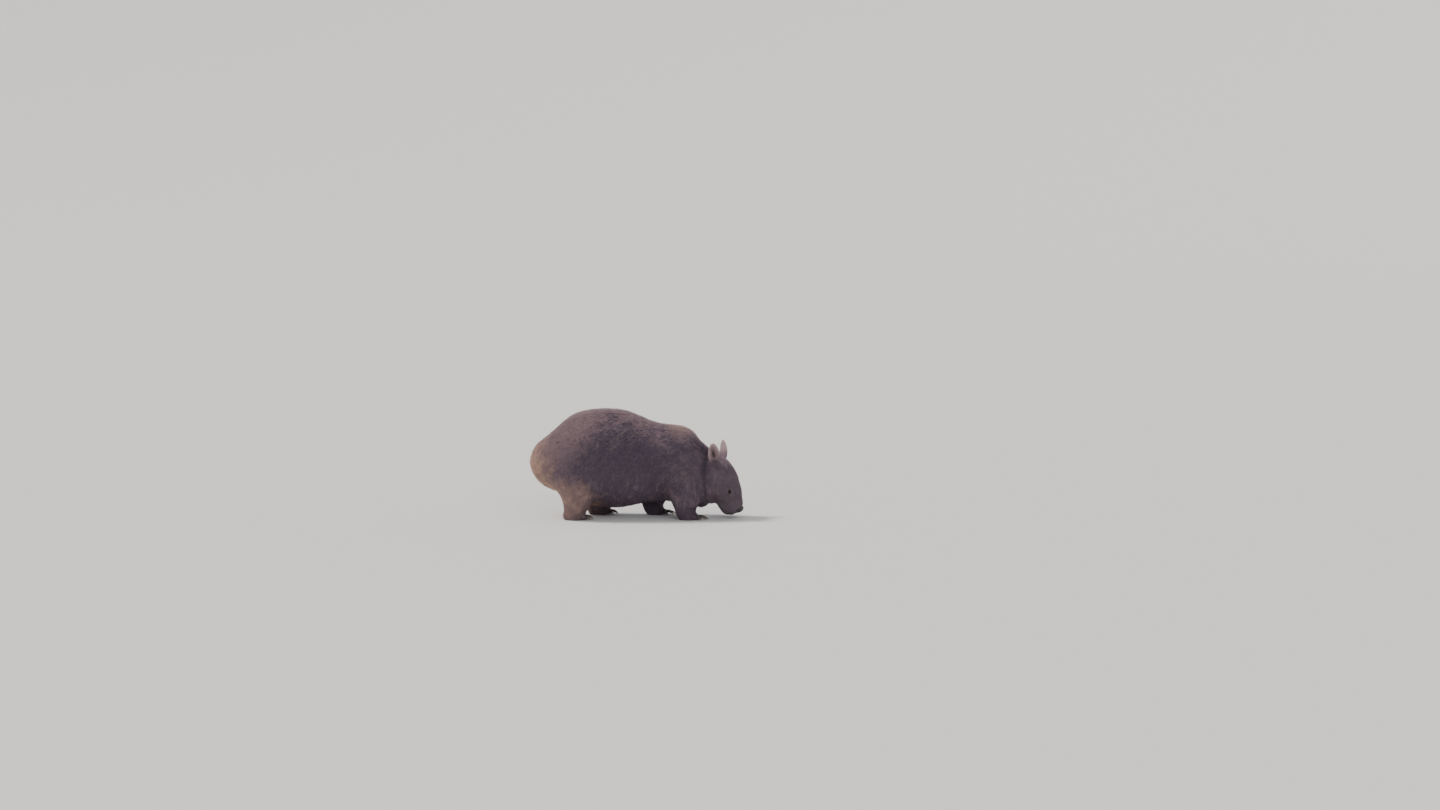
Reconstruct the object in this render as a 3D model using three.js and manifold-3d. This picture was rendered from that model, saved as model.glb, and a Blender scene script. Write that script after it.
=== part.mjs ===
// A life-size bare-nosed wombat that stands on four short legs with its blunt head lowered to graze.
// Units are millimetres. +X is forward, +Y the animal's left, +Z up, and the soles rest on z = 0.
// The solids reach to the outside of the coat. One soft field of body masses gives the whole form,
// and thin cuts part it where a person would name its parts.

import * as THREE from "three";
import { mergeVertices } from "three/addons/utils/BufferGeometryUtils.js";
import Module from "manifold-3d";

const wasm = await Module();
wasm.setup();

// Driving dimensions
const LENGTH = 844; // rump to nose, with the head lowered
const HEIGHT = 433; // floor to the top of the back
const HALF_WIDTH = 152; // midline to the outside of the coat at the barrel
const HEAD_LENGTH = 232; // poll to the front of the nose
const HEAD_HALF_WIDTH = 83; // midline to the outside of the cheek
const HEAD_PITCH = THREE.MathUtils.degToRad(71); // nose down
const HEAD_YAW = THREE.MathUtils.degToRad(-16); // nose towards the animal's right
const EAR_LENGTH = 106;
const EAR_WIDTH = 54;
const EAR_CUP = 17; // depth of the ear's hollow at its root
const EAR_EDGE = 3.2; // half thickness of the ear at its tip
const EYE_RADIUS = 9.5;
const EYE_SUNK = 0.62 * EYE_RADIUS; // from the coat's surface to the middle of the eye
const LID_THICKNESS = 2.8;
const LIP_GROOVE = 2.4; // half width of the line of the mouth
const FORE_TRACK = 90; // midline to the middle of a forefoot
const HIND_TRACK = 94;
const FOREFOOT_TOP = 40; // height of the cut between foreleg and forefoot
const HINDFOOT_TOP = 32;
const TOE_HEIGHT = 10.5; // floor to the middle of a toe's tip
const CLAW_HALF_WIDTH = 3.9;
const CLAW_HALF_HEIGHT = 4.6;
const GAP = 0.3; // between neighbouring pieces

// Facet sizes
const TORSO_FACET = 30;
const NECK_FACET = 21;
const HEAD_FACET = 11.5;
const LEG_FACET = 18;
const FOOT_FACET = 8.5;
const NOSE_FACET = 6.5;

const SIDES = { right: -1, left: 1 };
const STRIDE = {
  right: { fore: 0.743 * LENGTH, hind: 0.222 * LENGTH },
  left: { fore: 0.588 * LENGTH, hind: 0.33 * LENGTH },
};

const COAT = new THREE.MeshStandardMaterial({ color: 0x5a463c, roughness: 0.95 });
const BARE_SKIN = new THREE.MeshStandardMaterial({ color: 0x2b2527, roughness: 0.55 });
const EYE_SURFACE = new THREE.MeshStandardMaterial({ color: 0x120c0a, roughness: 0.1 });
const HORN = new THREE.MeshStandardMaterial({ color: 0x4a4038, roughness: 0.45 });

// Fields: each is a function of x, y and z that is negative inside its form and grows outwards

function mass(centre, radii) {
  const [cx, cy, cz] = centre;
  const [rx, ry, rz] = radii;
  return (x, y, z) => {
    const u = (x - cx) / rx;
    const v = (y - cy) / ry;
    const w = (z - cz) / rz;
    const reach = Math.sqrt(u * u + v * v + w * w);
    const slope = Math.sqrt((u / rx) ** 2 + (v / ry) ** 2 + (w / rz) ** 2);
    return slope > 0 ? (reach * (reach - 1)) / slope : -Math.min(rx, ry, rz);
  };
}

function limb(start, end, startRadius, endRadius) {
  const [sx, sy, sz] = start;
  const [ax, ay, az] = end.map((value, axis) => value - start[axis]);
  const lengthSquared = ax * ax + ay * ay + az * az;
  return (x, y, z) => {
    const u = x - sx;
    const v = y - sy;
    const w = z - sz;
    const t = Math.min(1, Math.max(0, (u * ax + v * ay + w * az) / lengthSquared));
    const away = Math.sqrt((u - t * ax) ** 2 + (v - t * ay) ** 2 + (w - t * az) ** 2);
    return away - startRadius - (endRadius - startRadius) * t;
  };
}

// The field where a ball around its form is near, and the distance to that ball elsewhere
function within(centre, reach, field) {
  const [cx, cy, cz] = centre;
  return (x, y, z) => {
    const away = Math.sqrt((x - cx) ** 2 + (y - cy) ** 2 + (z - cz) ** 2) - reach;
    return away > 50 ? away : field(x, y, z);
  };
}

function softUnion(softness, fields) {
  return (x, y, z) => {
    let total = Infinity;
    for (const field of fields) {
      const value = field(x, y, z);
      const near = Math.max(softness - Math.abs(total - value), 0) / softness;
      total = Math.min(total, value) - near * near * softness * 0.25;
    }
    return total;
  };
}

// The field as another frame reads it, where the matrix carries that frame's places to this one
function seenFrom(field, matrix) {
  const point = new THREE.Vector3();
  return (x, y, z) => {
    point.set(x, y, z).applyMatrix4(matrix);
    return field(point.x, point.y, point.z);
  };
}

function slopeOf(field, { x, y, z }) {
  const step = 0.2;
  const here = field(x, y, z);
  const slope = [field(x + step, y, z), field(x, y + step, z), field(x, y, z + step)];
  return new THREE.Vector3(...slope.map((value) => (value - here) / step));
}

// The nearest place on the field's surface, moved there along its slope
function onSurface(field, point, level = 0) {
  const found = point.clone();
  for (let round = 0; round < 8; round++) {
    const excess = field(found.x, found.y, found.z) - level;
    if (Math.abs(excess) < 0.02) break;
    const slope = slopeOf(field, found);
    found.addScaledVector(slope, -excess / Math.max(slope.lengthSq(), 0.05));
  }
  return found;
}

// The surface of a field inside a box, as a closed net with one vertex in each cell that it crosses
function netOf(field, low, high, facet, level = 0) {
  const count = low.map((value, axis) => Math.ceil((high[axis] - value) / facet) + 1);
  const place = (cell) => cell.map((value, axis) => low[axis] + value * facet);
  const indexOf = ([i, j, k]) => (k * count[1] + j) * count[0] + i;
  const value = new Float64Array(count[0] * count[1] * count[2]);
  const isEdge = (cell) => cell.some((n, axis) => n === 0 || n === count[axis] - 1);
  const everyCell = (visit) => {
    for (let k = 0; k < count[2]; k++)
      for (let j = 0; j < count[1]; j++) for (let i = 0; i < count[0]; i++) visit([i, j, k]);
  };
  everyCell((cell) => {
    value[indexOf(cell)] = isEdge(cell) ? facet : field(...place(cell)) - level;
  });

  const corners = [...Array(8).keys()].map((n) => [n & 1, (n >> 1) & 1, (n >> 2) & 1]);
  const edges = corners.flatMap((corner) =>
    [0, 1, 2]
      .filter((axis) => !corner[axis])
      .map((axis) => [corner, corner.map((n, other) => (other === axis ? 1 : n))]),
  );
  const shifted = (cell, by) => cell.map((n, axis) => n + by[axis]);
  const vertices = [];
  const vertexAt = new Map();
  everyCell((cell) => {
    if (cell.some((n, axis) => n === count[axis] - 1)) return;
    const crossing = new THREE.Vector3();
    let crossings = 0;
    for (const [from, to] of edges) {
      const a = value[indexOf(shifted(cell, from))];
      const b = value[indexOf(shifted(cell, to))];
      if (a < 0 === b < 0) continue;
      const share = a / (a - b);
      const spot = from.map((n, axis) => cell[axis] + n + (to[axis] - n) * share);
      crossing.add(new THREE.Vector3(...place(spot)));
      crossings++;
    }
    if (!crossings) return;
    crossing.divideScalar(crossings);
    const exact = onSurface(field, crossing, level);
    if (exact.distanceTo(crossing) < facet / 2) crossing.copy(exact);
    vertexAt.set(indexOf(cell), vertices.length);
    vertices.push(crossing);
  });

  const faces = [];
  const axisSteps = [
    [1, 0, 0],
    [0, 1, 0],
    [0, 0, 1],
  ];
  everyCell((cell) => {
    for (let axis = 0; axis < 3; axis++) {
      const next = shifted(cell, axisSteps[axis]);
      if (next[axis] >= count[axis]) continue;
      const inside = value[indexOf(cell)] < 0;
      if (inside === value[indexOf(next)] < 0) continue;
      const p = axisSteps[(axis + 1) % 3];
      const q = axisSteps[(axis + 2) % 3];
      const round = [[0, 0], [1, 0], [1, 1], [0, 1]].map(([s, t]) =>
        vertexAt.get(indexOf(cell.map((n, a) => n - s * p[a] - t * q[a]))),
      );
      if (!inside) round.reverse();
      const [a, b, c, d] = round;
      const across = vertices[a].distanceTo(vertices[c]) < vertices[b].distanceTo(vertices[d]);
      faces.push(...(across ? [a, b, c, a, c, d] : [b, c, d, b, d, a]));
    }
  });
  return new THREE.BufferGeometry().setFromPoints(vertices).setIndex(faces);
}

// Solids: closed geometries that manifold-3d joins and cuts

function solidOf(geometry) {
  const bare = geometry.clone();
  bare.deleteAttribute("normal");
  bare.deleteAttribute("uv");
  const merged = mergeVertices(bare, 1e-3);
  const mesh = new wasm.Mesh({
    numProp: 3,
    vertProperties: new Float32Array(merged.attributes.position.array),
    triVerts: new Uint32Array(merged.index.array),
  });
  return new wasm.Manifold(mesh);
}

function geometryOf(solid) {
  const mesh = solid.getMesh();
  return new THREE.BufferGeometry()
    .setAttribute("position", new THREE.BufferAttribute(mesh.vertProperties, 3))
    .setIndex(new THREE.BufferAttribute(mesh.triVerts, 1));
}

function largestBody(solid) {
  return solid.decompose().reduce((a, b) => (a.volume() > b.volume() ? a : b));
}

// Keeps what lies past the plane through a point, less half of the gap that neighbours leave
function keepPast(solid, normal, point) {
  const unit = new THREE.Vector3(...normal).normalize();
  const offset = unit.dot(new THREE.Vector3(...point)) + GAP / 2;
  return solid.trimByPlane([unit.x, unit.y, unit.z], offset);
}

const opposite = (direction) => direction.map((value) => -value);

function ballOf(radii, centre, around = 16, high = 9) {
  return new THREE.SphereGeometry(1, around, high).scale(...radii).translate(...centre);
}

// A tube of oval section along a curve that lies upright in the plane square to side, closed at both ends
function taperedTube(curve, side, steps, sides, halfWidthAt, halfHeightAt) {
  const across = new THREE.Vector3(...side).normalize();
  const points = [];
  const faces = [];
  for (let step = 0; step <= steps; step++) {
    const t = step / steps;
    const middle = curve.getPoint(t);
    const up = curve.getTangent(t).cross(across).normalize();
    for (let n = 0; n < sides; n++) {
      const angle = (n / sides) * 2 * Math.PI;
      points.push(
        middle
          .clone()
          .addScaledVector(across, Math.cos(angle) * halfWidthAt(t))
          .addScaledVector(up, Math.sin(angle) * halfHeightAt(t)),
      );
    }
  }
  points.push(curve.getPoint(0), curve.getPoint(1));
  const [startPole, endPole] = [points.length - 2, points.length - 1];
  for (let n = 0; n < sides; n++) {
    const next = (n + 1) % sides;
    faces.push(startPole, n, next);
    faces.push(endPole, steps * sides + next, steps * sides + n);
    for (let step = 0; step < steps; step++) {
      const [a, b] = [step * sides + n, step * sides + next];
      faces.push(a, a + sides, b, b, a + sides, b + sides);
    }
  }
  const geometry = new THREE.BufferGeometry().setFromPoints(points).setIndex(faces);
  return solidOf(geometry).volume() < 0 ? geometry.setIndex(faces.reverse()) : geometry;
}

// Torso in shares of the driving dimensions
const torsoField = softUnion(44, [
  mass([0.182 * LENGTH, 0, 0.506 * HEIGHT], [0.175 * LENGTH, 0.9 * HALF_WIDTH, 0.28 * HEIGHT]), // rump
  mass([0.268 * LENGTH, 0, 0.61 * HEIGHT], [0.152 * LENGTH, 0.84 * HALF_WIDTH, 0.345 * HEIGHT]), // croup
  mass([0.382 * LENGTH, 0, 0.555 * HEIGHT], [0.27 * LENGTH, 0.95 * HALF_WIDTH, 0.445 * HEIGHT]), // barrel
  mass([0.42 * LENGTH, 0, 0.318 * HEIGHT], [0.225 * LENGTH, 0.91 * HALF_WIDTH, 0.205 * HEIGHT]), // belly
  mass([0.594 * LENGTH, 0, 0.515 * HEIGHT], [0.14 * LENGTH, 0.84 * HALF_WIDTH, 0.342 * HEIGHT]), // chest
  mass([0.703 * LENGTH, 0, 0.485 * HEIGHT], [0.129 * LENGTH, 0.82 * HALF_WIDTH, 0.363 * HEIGHT]), // withers
]);

const neckField = mass(
  [0.803 * LENGTH, 0, 0.378 * HEIGHT],
  [0.104 * LENGTH, 0.66 * HALF_WIDTH, 0.3 * HEIGHT],
);

// Head, in its own frame: the poll is at the origin, +X runs to the nose and +Z is the brow side
const HEAD_PIVOT = new THREE.Vector3(0.841 * LENGTH, 0, 0.58 * HEIGHT);
const POLL_REACH = 0.105 * LENGTH; // from the pivot in the neck to the poll

const headGroup = new THREE.Group();
headGroup.rotation.set(0, HEAD_PITCH, HEAD_YAW, "ZYX");
headGroup.position
  .set(POLL_REACH * Math.cos(HEAD_YAW), POLL_REACH * Math.sin(HEAD_YAW), 0)
  .add(HEAD_PIVOT);
headGroup.updateMatrixWorld(true);

// A place in the head in shares of its length, its half width and its length again
const inHead = (along, across, up) => [
  along * HEAD_LENGTH,
  across * HEAD_HALF_WIDTH,
  up * HEAD_LENGTH,
];
const bothSides = (make) => Object.values(SIDES).map(make);

const headField = softUnion(18, [
  mass(inHead(0.33, 0, -0.25), inHead(0.37, 0.9, 0.235)), // skull
  ...bothSides((side) => mass(inHead(0.39, side * 0.54, -0.31), inHead(0.27, 0.45, 0.21))), // cheeks
  limb(inHead(0.42, 0, -0.215), inHead(0.79, 0, -0.205), 49, 39), // bridge of the muzzle
  ...bothSides((side) => mass(inHead(0.7, side * 0.28, -0.26), inHead(0.2, 0.3, 0.17))), // muzzle sides
  ...bothSides((side) => mass(inHead(0.59, side * 0.46, -0.115), inHead(0.15, 0.22, 0.07))), // brows
  ...bothSides((side) => mass(inHead(0.875, side * 0.27, -0.24), inHead(0.115, 0.3, 0.12))), // lip pads
  mass(inHead(0.66, 0, -0.37), inHead(0.3, 0.46, 0.105)), // lower jaw
]);

const noseField = softUnion(8, [
  mass(inHead(0.925, 0, -0.15), inHead(0.062, 0.34, 0.085)),
  ...bothSides((side) => mass(inHead(0.92, side * 0.2, -0.185), inHead(0.06, 0.18, 0.06))),
]);

// Legs: haunch or shoulder, upper leg and lower leg, then the foot in a frame of its own
function legFields(side, kind) {
  const y = SIDES[side];
  const foot = STRIDE[side][kind];
  if (kind === "hind") {
    const hip = 0.245 * LENGTH;
    const lean = (foot - hip) * 0.55;
    return [
      mass([hip + lean, y * 0.48 * HALF_WIDTH, 0.44 * HEIGHT], [98, 74, 112]),
      limb([foot - 1, y * 84, 145], [foot + 6, y * HIND_TRACK, 62], 66, 45),
      limb([foot + 6, y * HIND_TRACK, 62], [foot - 4, y * HIND_TRACK, 28], 45, 33),
    ];
  }
  const shoulder = 0.68 * LENGTH;
  const lean = (foot - shoulder) * 0.6;
  return [
    mass([shoulder + lean, y * 0.42 * HALF_WIDTH, 0.43 * HEIGHT], [74, 58, 108]),
    limb([shoulder + lean, y * 80, 150], [foot - 6, y * FORE_TRACK, 68], 53, 43),
    limb([foot - 6, y * FORE_TRACK, 68], [foot - 7, y * FORE_TRACK, 28], 43, 34),
  ];
}

// Toes fan out from the foot's middle: where each starts and ends, its radius and its claw
const TOES = {
  fore: [-34, -17, 0, 17, 34].map((angle, n) => ({
    angle,
    root: 20,
    tip: [38, 46, 49, 46, 39][n],
    radius: 9.2,
    claw: [26, 33, 35, 33, 27][n],
  })),
  hind: [-24, -9, 6, 21].map((angle, n) => ({
    angle,
    root: 20,
    tip: [40, 46, 46, 41][n],
    radius: 8.6,
    claw: [22, 26, 26, 22][n],
  })),
};

function toeLine(toe, side) {
  const turn = THREE.MathUtils.degToRad(toe.angle) * SIDES[side];
  return [Math.cos(turn), Math.sin(turn)];
}

function footField(side, kind) {
  const toes = TOES[kind].map((toe) => {
    const [x, y] = toeLine(toe, side);
    return limb(
      [toe.root * x, toe.root * y, TOE_HEIGHT + 6],
      [toe.tip * x, toe.tip * y, TOE_HEIGHT],
      toe.radius + 2,
      toe.radius,
    );
  });
  const inner = -SIDES[side];
  const pads =
    kind === "fore"
      ? [mass([4, 0, 18], [36, 33, 24])]
      : [
          mass([0, 0, 17], [42, 29, 22]),
          mass([-24, 0, 18], [24, 23, 22]),
          limb([16, inner * 22, 12], [26, inner * 27, 10], 9, 7), // small inner toe, which has no claw
        ];
  return softUnion(5, [softUnion(10, pads), ...toes]);
}

const TRACK = { fore: FORE_TRACK, hind: HIND_TRACK };
const footFrames = {};
const legParts = [];
for (const side of Object.keys(SIDES)) {
  for (const kind of ["fore", "hind"]) {
    const frame = new THREE.Group();
    frame.position.set(STRIDE[side][kind], SIDES[side] * TRACK[kind], 0);
    frame.updateMatrixWorld(true);
    footFrames[`${kind}_${side}`] = frame;
    legParts.push(...legFields(side, kind));
  }
}

const toHead = headGroup.matrixWorld.clone().invert();
const fleshField = softUnion(30, [
  torsoField,
  neckField,
  within([0.92 * LENGTH, 0, 0.3 * HEIGHT], 160, seenFrom(headField, toHead)),
  ...legParts,
]);
const feetFields = Object.entries(footFrames).map(([name, frame]) => {
  const [kind, side] = name.split("_");
  const field = seenFrom(footField(side, kind), frame.matrixWorld.clone().invert());
  return within(frame.position.toArray(), 70, field);
});
const wholeField = softUnion(8, [fleshField, ...feetFields]);
const headFrameField = seenFrom(wholeField, headGroup.matrixWorld);

// Zones that part the legs from the body, as plain ovals, and the planes that part neck and head
const NECK_CUT = { point: [0.752 * LENGTH, 0, 0], normal: [1, 0, -0.15] };
const HEAD_CUT = { point: [0.85 * LENGTH, 0, 0], normal: [Math.cos(HEAD_YAW), Math.sin(HEAD_YAW), 0] };

function legZone(side, kind, inset) {
  const foot = STRIDE[side][kind];
  const y = SIDES[side];
  const [centre, radii] =
    kind === "hind"
      ? [[foot + 13, y * 108, 145], [112, 88, 160]]
      : [[foot - 17, y * 98, 120], [78, 87, 134]];
  return solidOf(ballOf(radii.map((radius) => radius - inset), centre));
}

const allZones = Object.keys(footFrames)
  .map((name) => name.split("_"))
  .map(([kind, side]) => legZone(side, kind, 0));

const pieces = [];
function addPiece(name, solid, material, frame) {
  const mesh = new THREE.Mesh(geometryOf(largestBody(solid)), material);
  mesh.name = name;
  frame.add(mesh);
  pieces.push(mesh);
}

const animal = new THREE.Group();
animal.add(headGroup, ...Object.values(footFrames));

// Torso and neck
const withoutLegs = (solid) => allZones.reduce((rest, zone) => rest.subtract(zone), solid);

function torso() {
  const net = netOf(wholeField, [-30, -190, 5], [0.82 * LENGTH, 190, HEIGHT + 35], TORSO_FACET);
  return withoutLegs(keepPast(solidOf(net), opposite(NECK_CUT.normal), NECK_CUT.point));
}

function neck() {
  const low = [0.68 * LENGTH, -150, 8];
  const high = [0.9 * LENGTH, 150, HEIGHT];
  const past = keepPast(solidOf(netOf(wholeField, low, high, NECK_FACET)), NECK_CUT.normal, NECK_CUT.point);
  return withoutLegs(keepPast(past, opposite(HEAD_CUT.normal), HEAD_CUT.point));
}

addPiece("torso", torso(), COAT, animal);
addPiece("neck", neck(), COAT, animal);

// Tail: a stub that hangs from the rump
function tail() {
  const stub = limb([18, 0, 0.56 * HEIGHT], [4, 0, 0.49 * HEIGHT], 11, 6.5);
  const net = netOf(stub, [-30, -30, 0.4 * HEIGHT], [50, 30, 0.65 * HEIGHT], 6);
  const rump = netOf(wholeField, [-30, -60, 0.3 * HEIGHT], [120, 60, 0.8 * HEIGHT], 10, GAP);
  return solidOf(net).subtract(solidOf(rump));
}
addPiece("tail", tail(), COAT, animal);

// Legs and feet
function legOf(side, kind) {
  const foot = STRIDE[side][kind];
  const y = SIDES[side] * TRACK[kind];
  const low = [foot - 130, Math.min(y - 90, y + 100), 8];
  const high = [foot + 140, Math.max(y + 90, y - 100), 330];
  const net = solidOf(netOf(wholeField, low, high, LEG_FACET));
  const top = kind === "fore" ? FOREFOOT_TOP : HINDFOOT_TOP;
  return keepPast(net, [0, 0, 1], [0, 0, top]).intersect(legZone(side, kind, GAP));
}

function footOf(side, kind, frame) {
  const field = seenFrom(wholeField, frame.matrixWorld);
  const net = solidOf(netOf(field, [-75, -60, -20], [80, 60, 62], FOOT_FACET));
  const top = kind === "fore" ? FOREFOOT_TOP : HINDFOOT_TOP;
  return keepPast(net, [0, 0, -1], [0, 0, top]).trimByPlane([0, 0, 1], 0);
}

// A claw leaves the toe a little above the floor, arches forward and comes down almost to it
function clawOf(toe, side, foot) {
  const [x, y] = toeLine(toe, side);
  const at = (reach, height) => new THREE.Vector3(reach * x, reach * y, height);
  const curve = new THREE.QuadraticBezierCurve3(
    at(toe.tip - 2, TOE_HEIGHT + 2.5),
    at(toe.tip + toe.claw * 0.6, TOE_HEIGHT + 4.5),
    at(toe.tip + toe.claw, 2.2),
  );
  const across = [-y, x, 0];
  const taper = (t) => Math.sqrt(1 - t * 0.93);
  const claw = taperedTube(
    curve,
    across,
    3,
    6,
    (t) => CLAW_HALF_WIDTH * taper(t),
    (t) => CLAW_HALF_HEIGHT * taper(t),
  );
  return solidOf(claw).subtract(foot).translate([GAP * x, GAP * y, 0]);
}

for (const [name, frame] of Object.entries(footFrames)) {
  const [kind, side] = name.split("_");
  const foot = footOf(side, kind, frame);
  addPiece(`${kind}leg_${side}`, legOf(side, kind), COAT, animal);
  addPiece(`${kind}foot_${side}`, foot, COAT, frame);
  TOES[kind].forEach((toe, n) => {
    addPiece(`${kind}claw_${side}_${n + 1}`, clawOf(toe, side, foot), HORN, frame);
  });
}

// Head, with ears, eyes and nose seated in it
function earFrame(side) {
  const y = SIDES[side];
  const along = new THREE.Vector3(-0.95, y * 0.2, 0.22).normalize();
  const opening = new THREE.Vector3(0.1, y * 0.8, 0.6);
  opening.addScaledVector(along, -opening.dot(along)).normalize();
  const across = new THREE.Vector3().crossVectors(along, opening);
  const frame = new THREE.Matrix4().makeBasis(opening, across, along);
  return frame.setPosition(...inHead(0.12, y * 0.7, -0.22));
}

// A ball drawn out into a cupped leaf: +Z runs to the tip and the cup opens to +X
function earOf(side) {
  const leaf = new THREE.SphereGeometry(1, 18, 12);
  const at = leaf.attributes.position;
  for (let n = 0; n < at.count; n++) {
    const [a, b, c] = [at.getX(n), at.getZ(n), at.getY(n)];
    const rise = (c + 1) / 2;
    const cup = EAR_CUP * (1 - 0.6 * rise) * (1 - b * b);
    const thickness = EAR_EDGE * (1 + 0.75 * (1 - rise));
    at.setXYZ(
      n,
      a * thickness - cup + 6 * rise * rise,
      b * (EAR_WIDTH / 2) * (1.04 - 0.1 * rise),
      rise * EAR_LENGTH - 10,
    );
  }
  const solid = solidOf(leaf.applyMatrix4(earFrame(side)));
  return solid.volume() < 0 ? solidOf(leaf.setIndex([...leaf.index.array].reverse())) : solid;
}

function eyeFrame(side) {
  const guess = new THREE.Vector3(...inHead(0.605, SIDES[side] * 0.8, -0.14));
  const surface = onSurface(headFrameField, guess);
  const outward = slopeOf(headFrameField, surface).normalize();
  const forward = new THREE.Vector3(1, 0, 0);
  forward.addScaledVector(outward, -forward.dot(outward)).normalize();
  const up = new THREE.Vector3().crossVectors(outward, forward);
  const centre = surface.addScaledVector(outward, -EYE_SUNK);
  return new THREE.Matrix4().makeBasis(forward, up, outward).setPosition(centre);
}

const eyeball = (radius, frame) =>
  solidOf(new THREE.SphereGeometry(radius, 14, 8).rotateX(Math.PI / 2).applyMatrix4(frame));

// Lids: a thin ball over the eye, with an almond-shaped opening
function withEye(head, side) {
  const frame = eyeFrame(side);
  const openingRadii = [0.9 * EYE_RADIUS, 0.6 * EYE_RADIUS, 1.5 * EYE_RADIUS];
  const opening = ballOf(openingRadii, [0, 0, 1.3 * EYE_RADIUS]);
  return head
    .add(eyeball(EYE_RADIUS + LID_THICKNESS, frame))
    .subtract(eyeball(EYE_RADIUS + GAP, frame))
    .subtract(solidOf(opening.applyMatrix4(frame)));
}

// The line of the mouth runs round the muzzle under the lip pads, and a cleft joins it to the nose
function mouthLine() {
  const guesses = [
    [0.74, -0.6, -0.37],
    [0.82, -0.52, -0.345],
    [0.92, -0.34, -0.325],
    [0.985, 0, -0.315],
    [0.92, 0.34, -0.325],
    [0.82, 0.52, -0.345],
    [0.74, 0.6, -0.37],
  ];
  const points = guesses.map((guess) => onSurface(headFrameField, new THREE.Vector3(...inHead(...guess))));
  const curve = new THREE.CatmullRomCurve3(points);
  return solidOf(taperedTube(curve, [0, 0, 1], 18, 5, () => LIP_GROOVE, () => LIP_GROOVE));
}

function cleft() {
  const points = [[0.99, 0, -0.2], [0.985, 0, -0.26], [0.97, 0, -0.315]].map((guess) =>
    onSurface(headFrameField, new THREE.Vector3(...inHead(...guess))),
  );
  const curve = new THREE.CatmullRomCurve3(points);
  return solidOf(taperedTube(curve, [0, 1, 0], 5, 5, () => 0.75 * LIP_GROOVE, () => LIP_GROOVE));
}

function nostril(side) {
  const points = [
    [1.02, side * 0.13, -0.18],
    [0.975, side * 0.19, -0.165],
    [0.95, side * 0.27, -0.15],
  ].map((share) => new THREE.Vector3(...inHead(...share)));
  const curve = new THREE.QuadraticBezierCurve3(...points);
  return solidOf(taperedTube(curve, [0, 0, 1], 6, 8, (t) => 4 + t, (t) => 4.6 - t));
}

const noseBox = [inHead(0.8, -0.6, -0.32), inHead(1.06, 0.6, -0.02)];
const noseNet = netOf(noseField, ...noseBox, NOSE_FACET);
const nose = bothSides(nostril).reduce((rest, pit) => rest.subtract(pit), solidOf(noseNet));
const headBox = [inHead(-0.62, -1.5, -0.85), inHead(1.12, 1.5, 0.25)];
const headNet = netOf(headFrameField, ...headBox, HEAD_FACET);
const toHeadCut = new THREE.Vector3(...HEAD_CUT.normal).transformDirection(toHead);
const headCutPoint = new THREE.Vector3(...HEAD_CUT.point).applyMatrix4(toHead);
let head = keepPast(solidOf(headNet), [...toHeadCut], [...headCutPoint]);
for (const side of Object.keys(SIDES)) head = withEye(head, side);
head = head.subtract(mouthLine()).subtract(cleft());
head = head.subtract(solidOf(netOf(noseField, ...noseBox, NOSE_FACET, GAP)));
addPiece("head", head, COAT, headGroup);
addPiece("nose", nose, BARE_SKIN, headGroup);

const headGrown = solidOf(netOf(headFrameField, ...headBox, HEAD_FACET, GAP));
for (const side of Object.keys(SIDES)) {
  addPiece(`eye_${side}`, eyeball(EYE_RADIUS, eyeFrame(side)), EYE_SURFACE, headGroup);
  addPiece(`ear_${side}`, earOf(side).subtract(headGrown), COAT, headGroup);
}

// The part's origin is the middle of its footprint, on the floor
const wombat = new THREE.Group();
wombat.name = "wombat";
wombat.add(animal);
wombat.updateMatrixWorld(true);
const extent = new THREE.Box3().setFromObject(wombat, true);
const middle = extent.getCenter(new THREE.Vector3());
animal.position.set(-middle.x, -middle.y, -extent.min.z);

export default wombat;
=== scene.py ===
"""A life-size bare-nosed wombat that stands on four short legs and lowers its head to graze.

One skin lies inside the solids, tufts of coarse hair cover it, and eyes, claws and whiskers are set in it.
"""

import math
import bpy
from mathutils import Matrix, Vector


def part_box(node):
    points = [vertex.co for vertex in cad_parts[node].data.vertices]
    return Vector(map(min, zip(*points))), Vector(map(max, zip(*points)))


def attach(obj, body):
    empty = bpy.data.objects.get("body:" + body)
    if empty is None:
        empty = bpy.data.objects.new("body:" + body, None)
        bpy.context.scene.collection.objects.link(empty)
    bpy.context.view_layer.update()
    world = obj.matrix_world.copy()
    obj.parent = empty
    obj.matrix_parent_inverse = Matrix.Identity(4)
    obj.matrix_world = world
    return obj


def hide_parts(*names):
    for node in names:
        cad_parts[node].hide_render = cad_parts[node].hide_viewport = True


bl_info = {
    "name": "Grazing Wombat",
    "version": (1, 0, 0),
    "blender": (4, 5, 0),
    "location": "3D View > Sidebar > Wombat",
    "description": "Skin, coat, eyes, claws and whiskers of a life-size wombat, with a plain studio",
    "category": "Add Mesh",
}

import bmesh
import bpy
import numpy as np
from bpy.props import FloatProperty, FloatVectorProperty, IntProperty, PointerProperty
from mathutils import Euler, Vector
from mathutils.bvhtree import BVHTree
from mathutils.kdtree import KDTree

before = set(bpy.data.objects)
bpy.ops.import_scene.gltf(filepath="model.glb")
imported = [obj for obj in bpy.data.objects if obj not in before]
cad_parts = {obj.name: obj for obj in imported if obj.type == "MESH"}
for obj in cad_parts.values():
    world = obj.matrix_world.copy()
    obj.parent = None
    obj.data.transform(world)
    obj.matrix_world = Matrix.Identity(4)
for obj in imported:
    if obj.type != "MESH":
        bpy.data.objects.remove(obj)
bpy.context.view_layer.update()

MM = 0.001
HEAD_TURN = np.array(Euler((0, math.radians(71), math.radians(-16))).to_matrix())
CLAWS = sorted(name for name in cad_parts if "claw" in name)
EYES = ["eye_right", "eye_left"]
EARS = ["ear_right", "ear_left"]
FLESH = sorted(set(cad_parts) - set(CLAWS) - set(EYES))

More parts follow.
